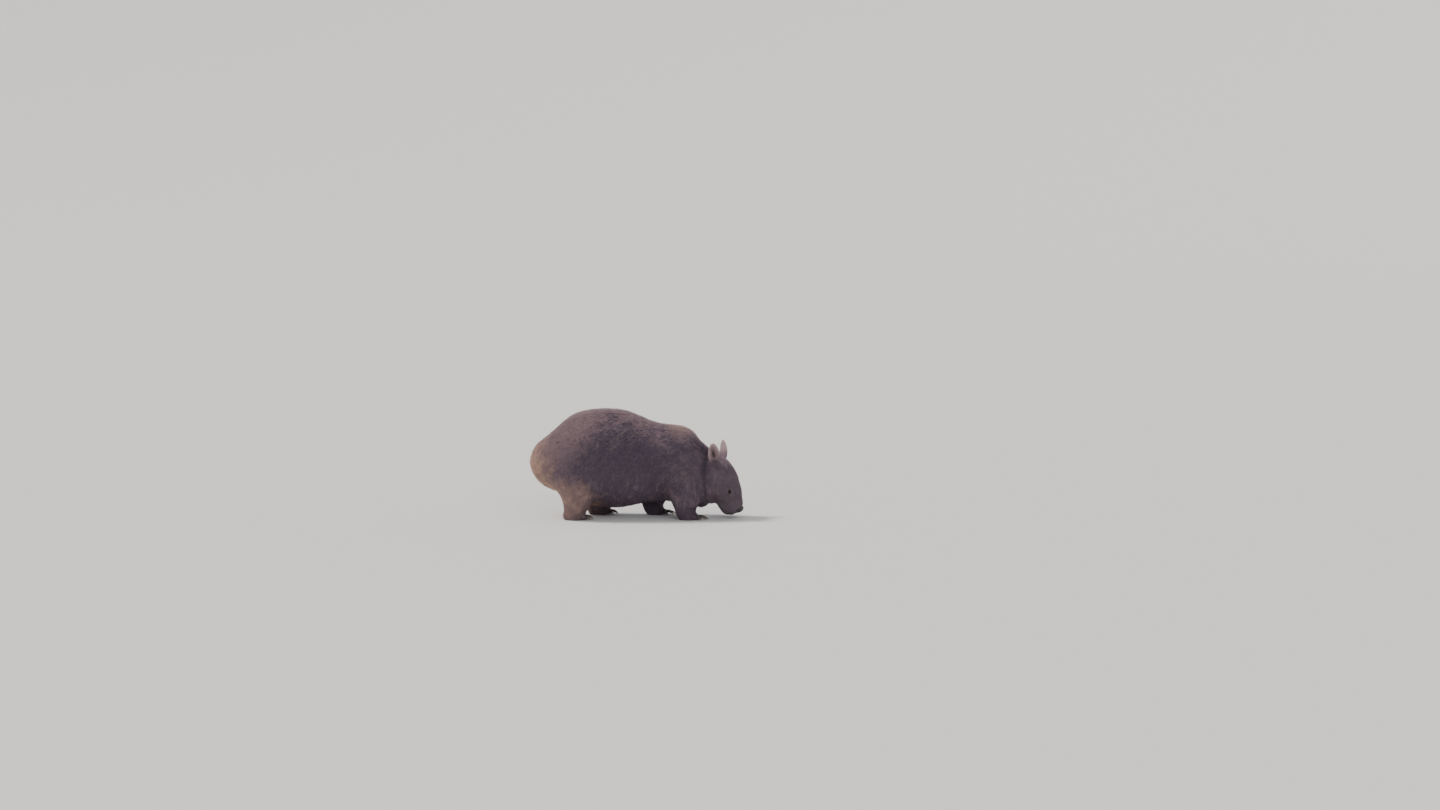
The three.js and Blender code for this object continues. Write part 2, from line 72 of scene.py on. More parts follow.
# Each zone's coat: depth, length of a tuft and its width in millimetres, and tufts on a square centimetre
COAT_ZONES = {
    "torso": (10.5, 27.0, 1.6, 19.0),
    "neck": (9.5, 23.0, 1.45, 23.0),
    "haunch": (9.0, 21.0, 1.45, 23.0),
    "shin": (5.0, 13.0, 1.2, 44.0),
    "tail": (3.0, 14.0, 1.2, 40.0),
    "crown": (6.0, 14.0, 1.15, 44.0),
    "face": (3.0, 8.0, 0.9, 92.0),
    "muzzle": (1.6, 4.6, 0.75, 125.0),
    "ear_back": (1.4, 7.0, 0.8, 95.0),
    "ear_cup": (0.7, 6.5, 0.65, 60.0),
    "foot": (2.2, 7.5, 1.05, 62.0),
    "nose": (0.0, 4.0, 0.8, 0.0),
}
DEPTH, LENGTH, WIDTH, DENSITY = range(4)
ZONES = list(COAT_ZONES)
SMALL_FORMS = ("crown", "face", "muzzle", "nose", "ear_back", "ear_cup", "foot")  # zones that keep them
FINE_LENGTH = (13.0, 8.5)  # tufts turn from locks with a bend to plain spikes as they shorten
TUFTS_IN_CLUMP, CLUMP_PULL = 18, 0.14  # the pull to a clump's middle is a share of the tuft's length
SIZES = (0.7, 1.2)  # shortest and longest, or thinnest and widest, as shares of the zone's
MEAN_LIFT = 0.93  # how high tips reach, as a share of the way to the solids' surface
LYING = 0.93  # share of the tufts that lie like their neighbours, the others stand up a little
UNDERCOAT = 0.3  # share of tufts that stay low between the others
PIECE_FACES = 190000
PATCH = 0.003  # a tuft's size on the flat map
JOIN = 0.45 * MM  # growth of the solids, so that they meet over the cuts between them
LARGEST_SHIFT = 12 * MM  # of the skin, when it is set at its depth
EYE_BED = 2.8 * MM  # flesh round an eyeball before the socket is cut
SOCKET_GAP = 0.25 * MM  # between an eyeball and its socket
TOE_LENGTH = 24 * MM
CAMERA_PLACE, CAMERA_DROP, CAMERA_LENS = (0.333, -13.3, 1.6), math.radians(4.968), 84.75
TUFT_SECTION = np.array([(-0.5, 0.0), (0.5, 0.0), (0.0, 0.34)])  # a tuft's section, as shares of its width


def size_property(name, description, millimetres):
    return FloatProperty(name=name, description=description, default=millimetres * MM, subtype="DISTANCE")


def share_property(name, description):
    return FloatProperty(name=name, description=description, default=1.0, subtype="FACTOR")


def colour_property(name, description, default):
    return FloatVectorProperty(name=name, description=description, default=default, subtype="COLOR")


class WombatShape(bpy.types.PropertyGroup):
    """Sizes of the skin and what is set in it."""

    voxel: size_property("Skin Detail", "Size of the skin's faces on the head", 1.8)
    skin_faces: IntProperty(
        name="Skin Faces", description="Triangles of the skin before the face is refined", default=150000
    )
    eye_radius: size_property("Eye Radius", "Radius of an eyeball", 9.5)
    whisker_length: size_property("Whisker Length", "Length of the longest whisker", 62)
    whisker_width: size_property("Whisker Width", "Width of a whisker at its root", 0.55)


class WombatCoat(bpy.types.PropertyGroup):
    """Growth and colours of the coat."""

    seed: IntProperty(name="Seed", description="Choice of the places where tufts grow", default=7)
    length: share_property("Length", "Length of every tuft as a share of its zone's")
    density: share_property("Density", "Number of tufts as a share of the full coat")
    # The dark hair also paints the shade on the flanks and behind the hip.
    dark: colour_property("Dark Hair", "Darkest hair of the flanks", (0.118, 0.09, 0.130))
    brown: colour_property("Brown Hair", "Main colour of the coat", (0.31, 0.214, 0.236))
    pale: colour_property("Pale Hair", "Tips of the back and rim of the ears", (0.55, 0.405, 0.40))
    # The tan is the thighs' hair colour and painted sunlight on the back of the rump.
    tan: colour_property("Tan Hair", "Thighs and the back of the rump", (0.85, 0.55, 0.41))
    # The nape patch is painted sunlight.
    sunlit_nape: colour_property("Sunlit Nape Hair", "Patch on the nape", (0.53, 0.365, 0.28))
    face: colour_property("Face Hair", "Short hair round the muzzle and eyes", (0.215, 0.163, 0.188))
    bare: colour_property("Bare Skin", "Nose, lids and soles", (0.045, 0.034, 0.038))


# Arrays: a mesh is held as points and triangles while it is shaped


def unit(vectors):
    return vectors / np.maximum(np.linalg.norm(vectors, axis=-1, keepdims=True), 1e-12)


def ramp(value, low, high):
    """Smooth rise from 0 at low to 1 at high, which may also be the smaller one."""
    share = np.clip((value - low) / (high - low), 0, 1)
    return share * share * (3 - 2 * share)


def gathered(index, values, count):
    """Sums of rows of values over the index they belong to."""
    return np.stack([np.bincount(index, column, count) for column in values.T], 1)


def flattened(vectors, normals):
    """Vectors without their part along the normals."""
    return vectors - np.einsum("ij,ij->i", vectors, normals)[:, None] * normals


def face_normals(points, faces):
    a, b, c = (points[faces[:, corner]] for corner in range(3))
    return np.cross(b - a, c - a)


def normals_of(points, faces):
    return unit(gathered(faces.ravel(), np.repeat(face_normals(points, faces), 3, axis=0), len(points)))


def edges_of(faces):
    pairs = np.sort(np.vstack([faces[:, [0, 1]], faces[:, [1, 2]], faces[:, [2, 0]]]), axis=1)
    return np.unique(pairs, axis=0)


def relaxed(values, edges, amount, rounds):
    """Values moved towards the mean of their neighbours' by an amount, one number or one for each point."""
    values = values.copy()
    ends = np.concatenate([edges[:, 0], edges[:, 1]])
    others = np.concatenate([edges[:, 1], edges[:, 0]])
    weight = np.reshape(amount, (-1, 1)) / np.maximum(np.bincount(ends, minlength=len(values)), 1)[:, None]
    total = np.reshape(amount, (-1, 1))
    for _ in range(rounds):
        values += weight * gathered(ends, values[others], len(values)) - total * values
    return values


def waves(points, length, seed):
    """Smooth noise between about -1 and 1 that changes over a length."""
    random = np.random.default_rng(seed)
    total = np.zeros(len(points))
    for _ in range(7):
        direction = unit(random.normal(size=3)) * random.uniform(0.7, 1.5)
        total += np.sin(points @ direction * (2 * math.pi / length) + random.uniform(0, 2 * math.pi))
    return total / 2.6


def away_from_path(points, path):
    """Distance of each point to a line of straight pieces."""
    nearest = np.full(len(points), np.inf)
    for start, end in zip(path[:-1], path[1:]):
        along = end - start
        share = np.clip((points - start) @ along / (along @ along), 0, 1)
        nearest = np.minimum(nearest, np.linalg.norm(points - start - share[:, None] * along, axis=1))
    return nearest


def arrays_of(mesh):
    points = np.empty(len(mesh.vertices) * 3)
    mesh.vertices.foreach_get("co", points)
    mesh.calc_loop_triangles()
    faces = np.empty(len(mesh.loop_triangles) * 3, np.int64)
    mesh.loop_triangles.foreach_get("vertices", faces)
    return points.reshape(-1, 3), faces.reshape(-1, 3)


def solid_arrays(name):
    """A solid of the frame with its loose triangles joined."""
    points, faces = arrays_of(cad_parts[name].data)
    _, first, index = np.unique(points.round(6), axis=0, return_index=True, return_inverse=True)
    faces = index.reshape(-1)[faces]
    return points[first], faces[(faces != np.roll(faces, 1, axis=1)).all(axis=1)]


def joined(parts):
    """Several pairs of points and triangles as one."""
    starts = np.cumsum([0] + [len(points) for points, _ in parts])
    faces = [faces + start for (_, faces), start in zip(parts, starts)]
    return np.vstack([points for points, _ in parts]), np.vstack(faces)


def placed(name, data):
    """A new object in the scene."""
    made = bpy.data.objects.new(name, data)
    bpy.context.scene.collection.objects.link(made)
    return made


def object_of(name, points, faces, look=None, **values):
    """A smooth mesh of triangles in the scene, with the values at its points that its look reads."""
    mesh = bpy.data.meshes.new(name)
    mesh.vertices.add(len(points))
    mesh.vertices.foreach_set("co", np.ascontiguousarray(points, np.float32).ravel())
    mesh.loops.add(faces.size)
    mesh.loops.foreach_set("vertex_index", np.ascontiguousarray(faces, np.int32).ravel())
    mesh.polygons.add(len(faces))
    mesh.polygons.foreach_set("loop_start", np.arange(0, faces.size, 3, dtype=np.int32))
    mesh.update(calc_edges=True)
    mesh.shade_smooth()
    for label, numbers in values.items():
        attribute = mesh.attributes.new(label, "FLOAT", "POINT")
        attribute.data.foreach_set("value", np.ascontiguousarray(numbers, np.float32))
    if look:
        mesh.materials.append(look)
    return placed(name, mesh)


def evaluated_arrays(made):
    """The arrays of an object with its modifiers applied, which removes the object."""
    mesh = bpy.data.meshes.new_from_object(made.evaluated_get(bpy.context.evaluated_depsgraph_get()))
    arrays = arrays_of(mesh)
    bpy.data.meshes.remove(mesh)
    bpy.data.meshes.remove(made.data)
    return arrays


def largest_part(points, faces):
    """The biggest connected part of a surface, without loose bits or closed hollows."""
    part = np.arange(len(points))
    while (part[faces] != part[faces[:, :1]]).any():
        lowest = part[faces].min(axis=1)
        for corner in faces.T:
            np.minimum.at(part, corner, lowest)
        part = part[part]
    kept = part[faces[:, 0]] == np.bincount(part[faces[:, 0]]).argmax()
    used, index = np.unique(faces[kept], return_inverse=True)
    return points[used], index.reshape(-1, 3)


def ball(centre, radius, rings=24):
    """A round ball as points and triangles."""
    shape = bmesh.new()
    bmesh.ops.create_uvsphere(shape, u_segments=2 * rings, v_segments=rings, radius=radius)
    bmesh.ops.triangulate(shape, faces=shape.faces)
    points = np.array([vertex.co for vertex in shape.verts]) + centre
    faces = np.array([[vertex.index for vertex in face.verts] for face in shape.faces])
    shape.free()
    first = faces.argmin(axis=1)[:, None]  # the triangles come in a new order each run, and are sorted here
    faces = np.take_along_axis(faces, (first + np.arange(3)) % 3, 1)
    return points, faces[np.lexsort(faces.T)]


def turned_out(points, faces):
    """A closed form with its faces pointing out."""
    middle = points - points.mean(axis=0)
    volume = np.einsum("ij,ij->i", middle[faces[:, 0]], face_normals(points, faces)).sum()
    return points, faces if volume > 0 else faces[:, ::-1]


def tube(path, across, half_widths, half_heights, sides):
    """A closed tube of oval section along a path that lies about square to the direction across."""
    path = np.asarray(path, float)
    ahead = unit(np.gradient(path, axis=0))
    side = unit(across - (ahead @ across)[:, None] * ahead)
    up = np.cross(side, ahead)
    turn = np.arange(sides) / sides * 2 * math.pi
    ring = (
        np.cos(turn)[None, :, None] * side[:, None] * np.reshape(half_widths, (-1, 1, 1))
        + np.sin(turn)[None, :, None] * up[:, None] * np.reshape(half_heights, (-1, 1, 1))
    )
    points = np.vstack([(path[:, None] + ring).reshape(-1, 3), path[:1], path[-1:]])
    steps, last = len(path), len(points)
    a = np.arange((steps - 1) * sides).reshape(-1, sides)
    b = np.roll(a, -1, axis=1)
    halves = ((a, b, b + sides), (a, b + sides, a + sides))
    wall = np.vstack([np.stack([corner.ravel() for corner in half], 1) for half in halves])
    start = np.stack([np.full(sides, last - 2), b[0], a[0]], 1)
    end = np.stack([np.full(sides, last - 1), a[-1] + sides, b[-1] + sides], 1)
    faces = np.vstack([wall, start, end])
    return turned_out(points, faces)


# Places on the head are in millimetres from the middle between the eyes: towards the nose, left and brow


def eye_centre(name):
    low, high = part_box(name)
    return np.array((low + high) / 2)


EYE_MIDDLE = (eye_centre("eye_right") + eye_centre("eye_left")) / 2


def in_head(points):
    return (points - EYE_MIDDLE) @ HEAD_TURN / MM


def from_head(places):
    return EYE_MIDDLE + np.asarray(places, float) * MM @ HEAD_TURN.T


def eye_frame(name):
    """An eye's middle, and the directions forward, up and outward of its lids."""
    centre = eye_centre(name)
    points, faces = solid_arrays("head")
    distance = np.linalg.norm(points - centre, axis=1)
    near = (distance > 14 * MM) & (distance < 34 * MM)
    outward = unit(normals_of(points, faces)[near].mean(axis=0))
    forward = unit(HEAD_TURN[:, 0] - (HEAD_TURN[:, 0] @ outward) * outward)
    up = np.cross(outward, forward)
    up = up if up @ HEAD_TURN[:, 2] > 0 else -up
    return centre, np.stack([forward, up, outward], 1)


def claw_line(name):
    """The middle of a claw's root, and its tip."""
    low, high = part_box(name.rsplit("_", 1)[0].replace("claw", "foot"))
    points, _ = solid_arrays(name)
    reach = np.linalg.norm(points[:, :2] - (np.array(low + high) / 2)[:2], axis=1)
    return points[reach < reach.min() + 0.15 * np.ptp(reach)].mean(axis=0), points[reach.argmax()]


def toe_line(name):
    """The line of the toe that carries a claw, from the claw's root back into the foot."""
    root, tip = claw_line(name)
    back = unit((root - tip) * [1, 1, 0])
    return np.array([root, root + TOE_LENGTH * back])


def zone_of_node(name):
    for word, zone in (("foot", "foot"), ("leg", "haunch"), ("ear", "ear_back"), ("head", "crown")):
        if word in name:
            return zone
    return name


def tree_of(points, faces):
    return BVHTree.FromPolygons(points.tolist(), faces.tolist())


def laid_on(tree, points):
    """The places on a tree's surface nearest to the points, with its normals and faces there."""
    places, normals, faces, _ = zip(*(tree.find_nearest(Vector(point)) for point in points))
    return np.array(places), np.array(normals), np.array(faces)


def depth_under(points, tree):
    """How deep each point lies under the tree's surface, negative outside it."""
    places, normals, _ = laid_on(tree, points)
    return np.einsum("ij,ij->i", places - points, normals)


class Skin:
    """The skin's points and triangles, with the share that each zone of the coat has in every point."""

    def __init__(self, points, faces, shares):
        self.points, self.faces, self.shares = points, faces, shares
        self.measure()

    def measure(self):
        self.edges = edges_of(self.faces)
        self.normals = unit(relaxed(normals_of(self.points, self.faces), self.edges, 0.5, 3))

    def move(self, points):
        self.points = points
        self.measure()

    def tree(self):
        return tree_of(self.points, self.faces)

    def part(self, *zones):
        """The share of some zones in every point."""
        return self.shares[:, [ZONES.index(zone) for zone in zones]].sum(axis=1)

    def coat(self, column):
        """Depth, length, width or density of the coat at every point."""
        return self.shares @ np.array([COAT_ZONES[zone][column] for zone in ZONES])

    def refined(self, chosen):
        """The skin with every edge between two chosen points halved."""
        cut = chosen[self.edges].all(axis=1)
        key = self.edges[:, 0] * len(self.points) + self.edges[:, 1]
        middle = np.full(len(self.edges), -1)
        middle[cut] = len(self.points) + np.arange(cut.sum())
        halves = []
        for corner in range(3):
            pair = np.sort(self.faces[:, [corner, (corner + 1) % 3]], axis=1)
            halves.append(middle[np.searchsorted(key, pair[:, 0] * len(self.points) + pair[:, 1])])
        halves = np.stack(halves, 1)
        faces = []
        for code in range(8):
            rows = ((halves >= 0) @ np.array([1, 2, 4])) == code
            if not rows.any():
                continue
            a, b, c = self.faces[rows].T
            ab, bc, ca = halves[rows].T
            split = {
                0: [(a, b, c)],
                1: [(a, ab, c), (ab, b, c)],
                2: [(a, b, bc), (a, bc, c)],
                4: [(a, b, ca), (ca, b, c)],
                3: [(ab, b, bc), (a, ab, bc), (a, bc, c)],
                6: [(bc, c, ca), (a, b, bc), (a, bc, ca)],
                5: [(a, ab, ca), (ab, b, c), (ab, c, ca)],
                7: [(a, ab, ca), (ab, b, bc), (ca, bc, c), (ab, bc, ca)],
            }[code]
            faces += [np.stack(corners, 1) for corners in split]
        ends = self.edges[cut]
        points = np.vstack([self.points, self.points[ends].mean(axis=1)])
        shares = np.vstack([self.shares, self.shares[ends].mean(axis=1)])
        return Skin(points, np.vstack(faces), shares)


def flesh_arrays():
    """All solids of flesh, a little grown so that they meet, with the zone of each triangle."""
    parts, zones = [], []
    for name in FLESH:
        points, faces = solid_arrays(name)
        parts.append((points + JOIN * normals_of(points, faces), faces))
        zones.append(np.full(len(faces), ZONES.index(zone_of_node(name))))
    return *joined(parts), np.concatenate(zones)


def zone_shares(points, faces, tree, zones):
    """The share of each zone in every point, from the nearest solid, with soft borders between them."""
    shares = np.eye(len(ZONES))[zones[laid_on(tree, points)[2]]]
    share = dict(zip(ZONES, shares.T))  # each zone's column, which is written in place
    edges, place = edges_of(faces), in_head(points)
    head, upper = share["crown"].copy(), share["haunch"].copy()
    face = ramp(place[:, 0], -34, 8) * ramp(place[:, 2], -92, -60)
    muzzle = ramp(place[:, 0], 22, 52)
    low, lowest = ramp(points[:, 2] / MM, 125, 60), ramp(points[:, 2] / MM, 78, 38)
    share["crown"][:] = head * (1 - face)
    share["face"][:] = head * (face * (1 - muzzle))
    share["muzzle"][:] = head * (face * muzzle)
    share["haunch"][:] = upper * (1 - low)
    share["shin"][:] = upper * low * (1 - lowest)
    share["foot"][:] += upper * low * lowest
    shares = relaxed(shares, edges, 0.7, 14)
    share = dict(zip(ZONES, shares.T))
    ear = share["ear_back"].copy()
    normals = relaxed(normals_of(points, faces), edges, 0.6, 3) @ HEAD_TURN
    side = np.sign(place[:, 1])
    cup = ramp(normals @ np.array([0.1, 0, 0.6]) + 0.8 * side * normals[:, 1], 0.1, 0.45)
    share["ear_back"][:], share["ear_cup"][:] = ear * (1 - cup), ear * cup
    return shares / shares.sum(axis=1, keepdims=True)


def wanted_depth(skin):
    """How deep the skin lies under the solids: the coat's depth, and less at the eyes and soles."""
    sole = ramp(skin.points[:, 2] / MM, 5, 1.5)
    return skin.coat(DEPTH) * ramp(from_eyes(skin.points), 11, 32) * (1 - sole) * MM


def core_skin(shape):
    """The flesh as one closed surface, smoothed and drawn in by the depth of the coat."""
    points, faces, zones = flesh_arrays()
    tree = tree_of(points, faces)
    fillings = [ball(eye_centre(name), shape.eye_radius + EYE_BED, 16) for name in EYES]
    body = object_of("core", *joined([(points, faces)] + fillings))
    remesh = body.modifiers.new("One Surface", "REMESH")
    remesh.mode = "VOXEL"
    remesh.voxel_size = shape.voxel
    points, faces = evaluated_arrays(body)

    skin = Skin(points, faces, zone_shares(points, faces, tree, zones))
    coarse = np.clip(1 - skin.part(*SMALL_FORMS), 0, 1)
    kept = skin.part("ear_back", "ear_cup", "nose") + 0.5 * skin.part("foot")
    points = relaxed(points, skin.edges, 0.8 * np.clip(1 - 0.75 * kept, 0, 1), 12)
    skin.move(relaxed(points, skin.edges, 0.8 * coarse, 50))
    normals = unit(relaxed(skin.normals, skin.edges, 0.7, 10) + 1e-9)
    points = skin.points - normals * wanted_depth(skin)[:, None]

    body = object_of("core", points, faces)
    group = body.vertex_groups.new(name="coarse")
    fewer = np.clip(coarse + 0.6 * skin.part("crown", "foot"), 0, 1)
    for level in range(1, 11):
        group.add(np.flatnonzero(np.round(fewer * 10) == level).tolist(), level / 10, "REPLACE")
    thin = body.modifiers.new("Fewer Faces", "DECIMATE")
    thin.ratio = shape.skin_faces / len(faces)
    thin.vertex_group = group.name
    points, faces = largest_part(*evaluated_arrays(body))
    skin = Skin(points, faces, zone_shares(points, faces, tree, zones))
    coarse = np.clip(1 - skin.part(*SMALL_FORMS), 0, 1)
    skin.move(relaxed(points, skin.edges, 0.5 * coarse, 3))
    shift = depth_under(skin.points, tree) - wanted_depth(skin)
    shift = np.clip(shift, -LARGEST_SHIFT, LARGEST_SHIFT) * coarse
    skin.move(skin.points + skin.normals * relaxed(shift[:, None], skin.edges, 0.6, 3))
    return skin, tree


# Lines on the head, in its millimetres
MOUTH = [(35, 50, -52), (53, 43, -46), (67, 36, -42.5), (76.5, 28, -41), (86, 15, -39.5), (91.6, 0, -39)]
CLEFT = [(96, 0, 0), (92.8, 0, -14), (91.6, 0, -26.2), (88.1, 0, -39)]
NOSE_WING = [(78, 27, -12), (82, 29, -2), (76, 28, 9)]
CREASE = [(66, 36, -12), (54, 43, -20), (40, 49, -34)]
NOSTRIL = [(104, 9, -8), (95, 11, -7.5), (88, 14.5, -5.5), (83, 20, -2), (82, 25.5, 2.5)]

EYE_CORNER = [(8, -1.5, 7.5), (13, -4, 6), (18, -5, 3)]  # a line in the eye's own frame
LID_WIDTH, LID_HEIGHT = 0.84, 0.56  # halves of the opening of the lids, as shares of the eye's radius
LID_DROP = 0.04  # of that opening under the eye's middle, as a share too


def mirrored(places):
    return [(x, -y, z) for x, y, z in places]


def from_line(points, places, tree=None):
    """Distance in millimetres to a line on the head or its mirror image, laid on a tree's surface."""
    nearest = np.full(len(points), np.inf)
    for line in (from_head(places), from_head(mirrored(places))):
        if tree:
            line = laid_on(tree, line)[0]
        nearest = np.minimum(nearest, away_from_path(points, line) / MM)
    return nearest


def from_eyes(points):
    """Distance in millimetres to the nearer eye's middle."""
    return np.min([np.linalg.norm(points - eye_centre(name), axis=1) for name in EYES], axis=0) / MM


def ridge(distance, middle, width):
    """A soft ridge of height 1 at a distance."""
    return np.exp(-(((distance - middle) / width) ** 2))


def lid_opening(local, radius):
    """1 on the edge of the lids, from places in an eye's frame."""
    return np.hypot(local[:, 0] / (LID_WIDTH * radius), (local[:, 1] / radius + LID_DROP) / LID_HEIGHT)


def sculpted(skin, shape):
    """Lids, lips, folds, the wings of the nose and toes, raised and sunk in the skin."""
    tree, radius = skin.tree(), shape.eye_radius / MM
    near_mouth = np.minimum(from_line(skin.points, MOUTH, tree), from_line(skin.points, CLEFT, tree))
    skin = skin.refined((from_eyes(skin.points) < 22) | (near_mouth < 7) | (skin.part("nose") > 0.25))
    skin.move(relaxed(skin.points, skin.edges, 0.5 * (from_eyes(skin.points) < 24), 2))

    points, normals, near_eye = skin.points, skin.normals, from_eyes(skin.points)
    rise = np.zeros(len(points))
    for name in EYES:
        centre, axes = eye_frame(name)
        local = (points - centre) @ axes / MM
        away, front = np.linalg.norm(local, axis=1), local[:, 2] > 0
        opening = lid_opening(local, radius)
        lid = 1.5 + 0.7 * ridge(opening, 1.2, 0.22)
        lid -= (0.5 + 0.7 * ramp(local[:, 1], -2, 3)) * ridge(opening, 1.95, 0.26)
        wanted = centre + local / np.maximum(away, 1e-3)[:, None] * (radius + lid)[:, None] @ axes.T * MM
        blend = front & (away < radius + lid + 1.2)
        blend = (blend * ramp(away, radius + 5, radius + 2.2))[:, None]
        points = points * (1 - blend) + wanted * blend
        brow = ridge(local[:, 1], 14, 5) * ridge(local[:, 0], -1, 14)
        pouch = ridge(local[:, 1], -12.5, 3.2) * ridge(local[:, 0], 1, 12)
        fold = ridge(local[:, 1], -9.4, 1.3) * ridge(local[:, 0], 1, 10)
        rise += (1.6 * brow + 0.9 * pouch - 0.6 * fold) * (front & (near_eye < 40))
        rise -= 0.9 * ridge(away_from_path(local, np.array(EYE_CORNER)), 0, 1.5)

    to_mouth, ahead = from_line(points, MOUTH, tree), ramp(in_head(points)[:, 0], 38, 66)
    rise += 1.1 * ridge(to_mouth, 4.2, 2.2) - (0.9 + 2.3 * ahead) * ridge(to_mouth, 0, 1.25)
    rise -= 2.0 * ridge(from_line(points, CLEFT, tree), 0, 1.1) * (to_mouth > 1)
    rise += 1.2 * ridge(from_line(points, NOSE_WING), 0, 3.0)
    to_crease = from_line(points, CREASE, tree)
    rise += ridge(to_crease, 4.5, 3) - 1.1 * ridge(to_crease, 0, 2.2)
    rise += 0.16 * skin.part("nose") * waves(points, 2.6 * MM, 4)
    toe, next_toe = np.sort([away_from_path(points, toe_line(name)) for name in CLAWS], axis=0)[:2] / MM
    groove = ridge(next_toe - toe, 0, 2.4) * ramp(toe, 13, 8)
    rise += skin.part("foot") * (1.8 * ramp(toe, 10, 3) - 3.0 * groove)
    skin.move(points + normals * (rise * MM)[:, None])
    return skin


def lid_cutter(name, radius):
    """An almond-shaped plug that opens the lids in front of an eye."""
    centre, axes = eye_frame(name)
    grown = np.array([0.9, 1.0, 1.25]) * radius
    path = np.array([(0, 0, 0.2), (0, 0, 0.9), (0, 0, 1.6)]) * radius
    points, faces = tube(path, np.array([1.0, 0, 0]), grown, grown, 40)
    across = points[:, 0] / radius
    points *= [LID_WIDTH, LID_HEIGHT, 1]
    points[:, 1] = points[:, 1] * (1 - 0.22 * np.clip(across, -1, 1) ** 2) - LID_DROP * radius
    return turned_out(centre + points @ axes.T, faces)


def pierced(skin, shape):
    """The skin with sockets for the eyes, the openings of the lids and the nostrils cut in it."""
    sockets = [ball(eye_centre(name), shape.eye_radius + SOCKET_GAP) for name in EYES]
    openings = [lid_cutter(name, shape.eye_radius) for name in EYES]
    for places in (NOSTRIL, mirrored(NOSTRIL)):
        path, reach = from_head(places), np.linspace(0, 1, 17)
        fine = np.stack([np.interp(reach * (len(path) - 1), range(len(path)), axis) for axis in path.T], 1)
        openings.append(tube(fine, HEAD_TURN[:, 2], (6.2 - 3.8 * reach) * MM, (5.6 - 3.5 * reach) * MM, 16))

    body = object_of("pierced", skin.points, skin.faces)
    cutters = [object_of("sockets", *joined(sockets)), object_of("openings", *joined(openings))]
    for cutter in cutters:
        cut = body.modifiers.new("Cut", "BOOLEAN")
        cut.operation, cut.solver, cut.object = "DIFFERENCE", "MANIFOLD", cutter
    tried = body.evaluated_get(bpy.context.evaluated_depsgraph_get())
    if len(tried.data.vertices) == len(skin.points):  # nothing was cut, so the slower way is taken
        for cut in body.modifiers:
            cut.solver = "EXACT"
    points, faces = evaluated_arrays(body)
    for cutter in cutters:
        bpy.data.meshes.remove(cutter.data)
    _, _, nearest = laid_on(skin.tree(), points)
    return Skin(points, faces, skin.shares[skin.faces[nearest]].mean(axis=1))


def bare_share(skin, shape):
    """1 where no hair grows: the nose, the edges of the lids, the line of the mouth and the soles."""
    bare = ramp(skin.part("nose"), 0.2, 0.5)
    for name in EYES:
        centre, axes = eye_frame(name)
        local = (skin.points - centre) @ axes
        near = np.linalg.norm(local, axis=1) < shape.eye_radius + 5 * MM
        bare = np.maximum(bare, near * ramp(lid_opening(local, shape.eye_radius), 1.5, 1.22))
    tree = skin.tree()
    lips = ramp(from_line(skin.points, MOUTH, tree), 2.4, 1.4)
    bare = np.maximum(bare, lips * ramp(in_head(skin.points)[:, 0], 46, 66))
    bare = np.maximum(bare, ramp(from_line(skin.points, CLEFT, tree), 2.6, 1.4))
    sole = ramp(skin.points[:, 2] / MM, 4.5, 2.5) * ramp(-skin.normals[:, 2], 0.2, 0.6)
    return np.maximum(bare, sole)


def lie_of_coat(skin):
    """The direction in which the hair lies at every point, along the skin."""
    points, normals = skin.points, skin.normals
    place = in_head(points)
    sideways = np.abs(normals[:, 1])
    rear = ramp(points[:, 0], -0.28, -0.40)
    outward = 0.12 * np.sign(points[:, 1]) * ramp(np.abs(points[:, 1]), 0.01, 0.06)
    side, whole = np.sign(place[:, 1]), np.ones(len(points))
    spread = 0.25 * side * ramp(np.abs(place[:, 1]), 4, 30)
    head = np.stack([-whole, spread, -0.15 - 0.25 * ramp(-place[:, 2], 20, 60)], 1) @ HEAD_TURN.T
    ear = np.stack([-0.95 * whole, 0.2 * side, 0.22 * whole], 1) @ HEAD_TURN.T
    directions = {
        "torso": np.stack([0.6 * rear - 1, outward, -0.12 - 0.5 * sideways - 0.9 * rear], 1),
        "neck": np.array([[-1.0, 0.0, -0.1]]),
        "haunch": np.stack([-0.35 - 0.2 * sideways, 0 * whole, -whole], 1),
        "shin": np.array([[-0.15, 0.0, -1.0]]),
        "tail": np.array([[-0.1, 0.0, -1.0]]),
        "ear_back": ear,
        "ear_cup": ear,
        "foot": np.array([[0.9, 0.0, -0.45]]),
    }
    lie = sum(skin.shares[:, [n]] * unit(directions.get(zone, head)) for n, zone in enumerate(ZONES))
    lie = relaxed(lie, skin.edges, 0.6, 10)
    across = np.cross(normals, lie)
    swirl = 0.16 * waves(points, 90 * MM, 1) + 0.12 * waves(points, 34 * MM, 2)
    lie = lie + across * swirl[:, None]
    return unit(flattened(lie, normals))


# Coat: tufts of few sides, each at a place on the skin


